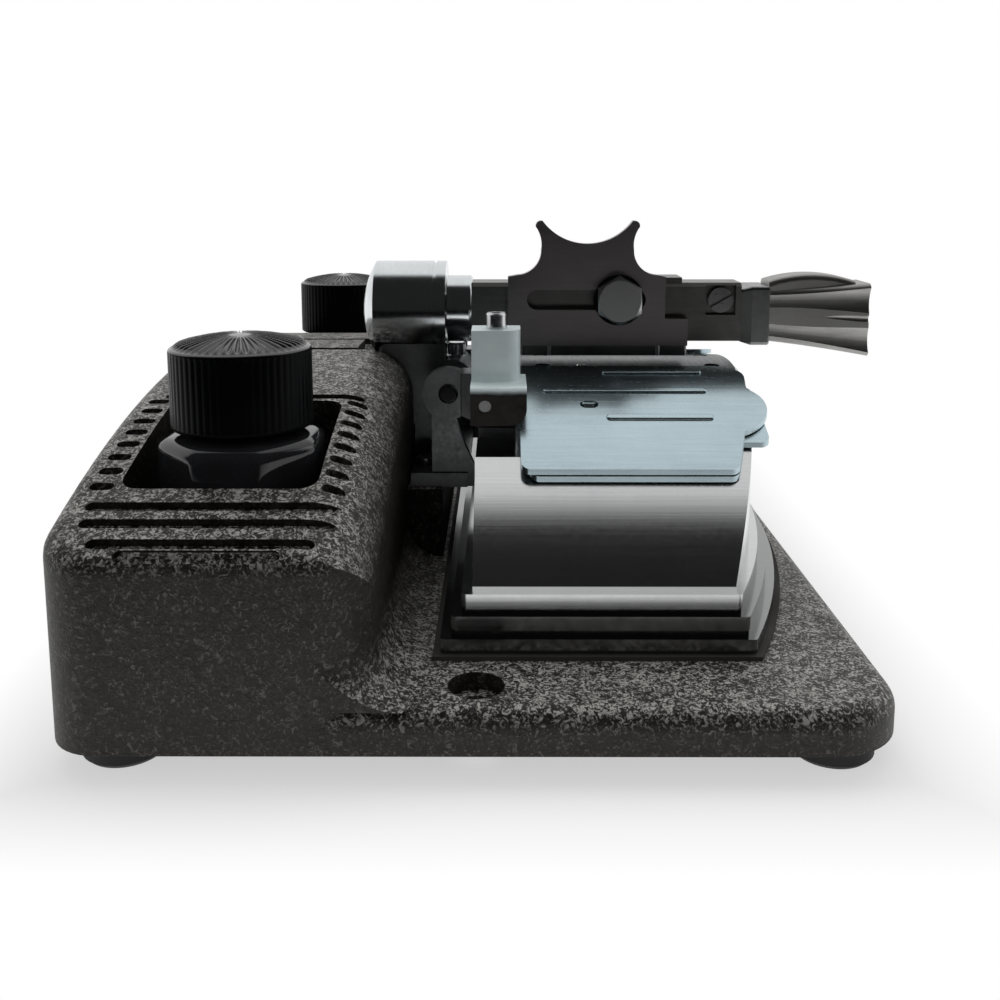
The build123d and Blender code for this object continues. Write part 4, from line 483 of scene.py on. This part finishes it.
def makeCap(side, look):
    # A profile turned round the cap's axis: outer wall with faint flutes, rounded edge, a domed
    # top and a plain bore. Ribs lift the top by the cosine of the angle times their number, and
    # flutes cut the wall by the square of such a cosine
    low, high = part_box(f"{side}_cap")
    centre = (np.array(low) + np.array(high)) / 2
    radius = (high[0] - low[0]) / 2
    bottom = low[2]
    rim = high[2] - look["dome"]
    edge, bore, chamfer, pole = (look[key] for key in ("edgeRound", "bore", "chamfer", "pole"))
    boreTop = bottom + look["boreDepth"]
    foot = bottom + chamfer
    inner = alongProfile([(pole, boreTop), (bore, boreTop), (bore, foot), (bore + chamfer, bottom),
                          (radius - chamfer, bottom), (radius, foot)], look["boreRows"])
    wallHeight = np.linspace(foot, rim - edge, look["wallRows"])
    wall = np.column_stack([np.full(look["wallRows"], radius), wallHeight])
    turn = np.linspace(0, np.pi / 2, look["edgeRows"])
    corner = np.column_stack([radius - edge + edge * np.cos(turn),
                              rim - edge + edge * np.sin(turn)])
    across = np.linspace(radius - edge, pole, look["domeRows"])
    domeRadius = (radius ** 2 + look["dome"] ** 2) / (2 * look["dome"])
    domeHeight = rim + look["dome"] - domeRadius + np.sqrt(domeRadius ** 2 - across ** 2)
    dome = np.column_stack([across, domeHeight])
    profile = np.vstack([inner[:-1], wall, corner[1:], dome[1:]])
    reach, height = profile[:, 0], profile[:, 1]

    angle = np.linspace(0, 2 * np.pi, look["sides"], endpoint=False)
    r = reach[:, None] + 0 * angle
    z = height[:, None] + 0 * angle
    near = 0.0001
    onWall = ((reach > radius - near) & (height < rim - edge + near)
              & (height > bottom + look["fluteStart"]))
    fluteShape = (0.5 + 0.5 * np.cos(look["flutes"] * angle)) ** 2
    r -= onWall[:, None] * look["fluteDepth"] * fluteShape
    onTop = np.arange(len(profile)) >= len(profile) - len(dome) + 1
    rise = np.clip((reach - look["ribStart"]) / look["ribRise"], 0, 1)
    fall = np.clip((look["ribEnd"] - reach) / look["ribFall"], 0, 1)
    z += (onTop * (rise * fall))[:, None] * look["ribHeight"] * np.cos(look["ribs"] * angle)
    groove = np.clip(1 - np.abs(reach - look["grooveAt"]) / look["grooveHalf"], 0, 1)
    z -= (onTop * groove)[:, None] * look["grooveDepth"]
    points = np.stack([centre[0] + r * np.cos(angle), centre[1] + r * np.sin(angle), z], axis=-1)
    cap = turnedMesh(f"{side}_ribbed_cap", points, "cap", f"{side}_closure",
                     f"{side}_cap")

    # The top's gloss is a second material, from glossFrom of the way down the rounded edge inwards
    cap.data.materials.append(finishes["capTop"])
    centres = np.empty(len(cap.data.polygons) * 3)
    cap.data.polygons.foreach_get("center", centres)
    isTop = centres[2::3] > rim - edge * look["glossFrom"]
    cap.data.polygons.foreach_set("material_index", isTop.astype(np.int32))


bottleShape = {
    "sides": 192, "wall": 0.0024, "neck": 0.0105, "mouth": 0.0080,
    "cornerPower": 28, "cornerReach": 1.062,
    "heel": 0.0018, "heelBulge": (0.0006, 0.0005), "wallStart": 0.004, "wallRows": 8,
    "shoulder": 0.0628, "wallEnd": 0.0042, "shoulderRound": 0.0034, "shoulderRise": 0.0026,
    "shoulderSlope": 0.0008, "shoulderCircle": 0.12, "turnRows": 8, "slopeRows": 7,
    "neckFoot": (0.0002, 0.0004), "neckStart": 0.0010, "lip": 0.0005, "lipInside": 0.0004,
    "mouthDepth": 0.0020, "insideCorner": (0.002, 0.0034, 0.1), "insideWallTop": 0.0055,
    "insideHeel": 0.001,
}


def makeBottle(side, look):
    # An eight-sided bottle. Each level has a reach, a height and a share of circle: its outline is
    # the smaller of an octagon and a circle, softened, mixed with a true circle by that share.
    # The levels run up the wall, over a rounded shoulder, up the neck and back down the inside
    low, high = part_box(f"{side}_bottle")
    centre = (np.array(low) + np.array(high)) / 2
    apothem = (high[0] - low[0]) / 2
    bottom, top = low[2], high[2]
    heel, shoulder, neck, mouth, wall = (
        look[key] for key in ("heel", "shoulder", "neck", "mouth", "wall"))
    bulgeIn, bulgeUp = look["heelBulge"]
    foot = [(apothem - heel, bottom, 0.0), (apothem - bulgeIn, bottom + bulgeUp, 0.0),
            (apothem, bottom + heel, 0.0)]
    heights = np.linspace(bottom + look["wallStart"], shoulder - look["wallEnd"], look["wallRows"])
    straight = np.column_stack([np.full_like(heights, apothem), heights, np.zeros_like(heights)])
    turn = np.linspace(0, np.pi / 2, look["turnRows"] + 1)[1:]
    rounded = np.column_stack([
        apothem - look["shoulderRound"] * (1 - np.cos(turn)),
        shoulder - look["shoulderRound"] + look["shoulderRise"] * np.sin(turn),
        look["shoulderCircle"] * np.sin(turn)])
    share = np.linspace(0, 1, look["slopeRows"] + 1)[1:]
    slope = look["shoulderSlope"]
    edge = apothem - look["shoulderRound"]
    sloped = np.column_stack([
        edge - (edge - neck - slope) * share, shoulder - slope + slope * share,
        look["shoulderCircle"] + (1 - look["shoulderCircle"]) * share])
    footOut, footUp = look["neckFoot"]
    lip, lipInside = look["lip"], look["lipInside"]
    spout = [(neck + footOut, shoulder + footUp, 1.0), (neck, shoulder + look["neckStart"], 1.0),
             (neck, top - lip, 1.0), (neck - lip, top, 1.0), (mouth + lipInside, top, 1.0),
             (mouth, top - lipInside, 1.0), (mouth, shoulder - look["mouthDepth"], 1.0)]
    cavity = apothem - wall
    cornerIn, cornerDown, cornerCircle = look["insideCorner"]
    inside = [(cavity - cornerIn, shoulder - cornerDown, cornerCircle),
              (cavity, shoulder - look["insideWallTop"], 0.0),
              (cavity, bottom + wall + look["insideHeel"], 0.0),
              (cavity - look["insideHeel"], bottom + wall, 0.0)]
    levels = np.vstack([foot, straight, rounded, sloped, spout, inside])
    reach, height, circle = (levels[:, i][:, None] for i in range(3))

    angle = np.linspace(0, 2 * np.pi, look["sides"], endpoint=False)
    wedge = (angle + np.pi / 8) % (np.pi / 4) - np.pi / 8
    octagon = 1 / np.cos(wedge)
    power = look["cornerPower"]
    softened = (octagon ** -power + look["cornerReach"] ** -power) ** (-1 / power)
    radius = reach * (softened * (1 - circle) + circle)
    points = np.stack([centre[0] + radius * np.cos(angle), centre[1] + radius * np.sin(angle),
                       height + 0 * angle], axis=-1)
    turnedMesh(f"{side}_glass_bottle", points, "glass", f"{side}_vessel",
               f"{side}_bottle")


for side in ("left", "right"):
    makeCap(side, bottleCap)
    makeBottle(side, bottleShape)
print("caps and bottles made")

# Stage, lights and camera

stageLook = {
    "floorSize": 8.0, "pale": (0.90, 0.90, 0.90), "dim": (0.04, 0.04, 0.04),
    "paleFrom": -0.20, "dimFrom": -0.30, "rough": 0.9, "gloss": 0.1,
    "nearShare": 0.55, "shadowReach": 0.028,
}


def makeFloor(look, box):
    # Pale paper under and behind the object, on a dim studio floor in front. The camera sees all
    # of it as white, metal and glass see the paper as white, and close round the object's
    # footprint part of the lit floor stays in the mix, which keeps the shadow
    half = look["floorSize"] / 2
    corners = [(-half, -half, 0), (half, -half, 0), (half, half, 0), (-half, half, 0)]
    mesh = bpy.data.meshes.new("floor")
    mesh.from_pydata(corners, [], [(0, 1, 2, 3)])
    floor = bpy.data.objects.new("floor", mesh)
    bpy.context.scene.collection.objects.link(floor)
    material, tree, shader = startMaterial("paleFloor")
    split = addNode(tree, "ShaderNodeSeparateXYZ", Vector=objectPlace(tree))
    paper = spread(tree, split.outputs[1], (0.0, 1.0), over=(look["dimFrom"], look["paleFrom"]))
    tree.links.new(mixColour(tree, paper, look["dim"], look["pale"]), shader.inputs["Base Color"])
    shader.inputs["Roughness"].default_value = look["rough"]
    shader.inputs["Specular IOR Level"].default_value = look["gloss"]
    rays = tree.nodes.new("ShaderNodeLightPath").outputs
    mirrored = maths(tree, "MAXIMUM", rays["Is Glossy Ray"], rays["Is Transmission Ray"])
    glow = addNode(tree, "ShaderNodeEmission", Color=(1, 1, 1, 1),
                   Strength=maths(tree, "MAXIMUM", rays["Is Camera Ray"], paper))

    # Distance outside the object's footprint, along X or Y, whichever is more
    beyond = []
    for axis in (0, 1):
        middle = (box[0][axis] + box[1][axis]) / 2
        reach = (box[1][axis] - box[0][axis]) / 2
        offset = maths(tree, "ABSOLUTE", maths(tree, "SUBTRACT", split.outputs[axis], middle))
        beyond.append(maths(tree, "SUBTRACT", offset, reach))
    share = spread(tree, maths(tree, "MAXIMUM", *beyond), (look["nearShare"], 1.0),
                   over=(0.0, look["shadowReach"]))
    seen = maths(tree, "MAXIMUM", rays["Is Camera Ray"], mirrored)
    mix = addNode(tree, "ShaderNodeMixShader", i0=maths(tree, "MULTIPLY", seen, share),
                  i1=shader.outputs[0], i2=glow.outputs[0])
    tree.links.new(mix.outputs[0], tree.nodes["Material Output"].inputs[0])
    mesh.materials.append(material)


makeFloor(stageLook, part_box("base_casting"))

worldLook = {
    "lightFront": 0.30, "lightBack": 0.52, "mirrorFront": 0.015, "mirrorBack": 0.92,
    "turnLow": -0.09, "turnHigh": 0.16,
}


def makeWorld(look):
    # A white backdrop for the camera. Behind the photographer the studio is dim, both in the
    # light that it gives and in what metal and glass mirror
    world = bpy.data.worlds.new("studio")
    bpy.context.scene.world = world
    world.use_nodes = True
    tree = world.node_tree
    tree.nodes.clear()
    out = tree.nodes.new("ShaderNodeOutputWorld")
    around = tree.nodes.new("ShaderNodeTexCoord").outputs["Generated"]
    direction = addNode(tree, "ShaderNodeSeparateXYZ", Vector=around)
    turn = addNode(tree, "ShaderNodeMapRange", {"interpolation_type": "SMOOTHSTEP"},
                   Value=direction.outputs[1], From_Min=look["turnLow"],
                   From_Max=look["turnHigh"]).outputs[0]
    rays = tree.nodes.new("ShaderNodeLightPath").outputs
    mirrored = spread(tree, turn, (look["mirrorFront"], look["mirrorBack"]))
    backdrop = addNode(tree, "ShaderNodeBackground", Color=(1, 1, 1, 1),
                       Strength=maths(tree, "MAXIMUM", mirrored, rays["Is Camera Ray"]))
    light = addNode(tree, "ShaderNodeBackground", Color=(1, 1, 1, 1),
                    Strength=spread(tree, turn, (look["lightFront"], look["lightBack"])))
    seen = maths(tree, "MAXIMUM", rays["Is Camera Ray"], rays["Is Glossy Ray"])
    seen = maths(tree, "MAXIMUM", seen, rays["Is Transmission Ray"])
    mix = addNode(tree, "ShaderNodeMixShader", i0=seen, i1=light.outputs[0],
                  i2=backdrop.outputs[0])
    tree.links.new(mix.outputs[0], out.inputs[0])


makeWorld(worldLook)

# Each lamp is a soft box; mirrored says whether metal and glass show it
lamps = {
    "overheadSoftbox": {"at": (0.0, 0.45, 1.0), "aim": (0.0, 0.10, 0.03), "size": (1.6, 0.9),
                        "power": 4.6, "mirrored": False},
    "rightSoftbox": {"at": (0.95, 0.05, 0.45), "aim": (0.0, 0.0, 0.05), "size": (0.5, 0.5),
                     "power": 0.6, "mirrored": True},
    "frontFill": {"at": (-0.55, -0.95, 0.75), "aim": (0.0, 0.0, 0.05), "size": (0.5, 0.5),
                  "power": 1.2, "mirrored": False},
}
for name, lamp in lamps.items():
    data = bpy.data.lights.new(name, "AREA")
    data.shape = "RECTANGLE"
    data.size, data.size_y = lamp["size"]
    data.energy = lamp["power"]
    thing = bpy.data.objects.new(name, data)
    away = np.array(lamp["at"]) - np.array(lamp["aim"])
    flat = math.hypot(away[0], away[1])
    thing.rotation_euler = Euler((math.atan2(flat, away[2]), 0, math.atan2(away[0], -away[1])))
    thing.location = lamp["at"]
    thing.visible_glossy = lamp["mirrored"]
    bpy.context.scene.collection.objects.link(thing)

# The camera's place and turn, fitted to the photograph; turns are in degrees
cameraLook = {
    "at": (-0.00766, -0.31491, 0.11848), "pitch": 8.482, "yaw": 0.162,
    "focal": 37.8, "sensor": 36, "shift": -0.1604, "nearest": 0.01,
}
cameraData = bpy.data.cameras.new("photoCamera")
cameraData.sensor_width = cameraLook["sensor"]
cameraData.lens = cameraLook["focal"]
cameraData.shift_y = cameraLook["shift"]
cameraData.clip_start = cameraLook["nearest"]
camera = bpy.data.objects.new("photoCamera", cameraData)
camera.location = cameraLook["at"]
camera.rotation_euler = Euler((math.radians(90 - cameraLook["pitch"]), 0,
                               math.radians(cameraLook["yaw"])))
bpy.context.scene.collection.objects.link(camera)
bpy.context.scene.camera = camera
bpy.context.scene.view_settings.view_transform = "Standard"
print("stage, lamps and camera set")
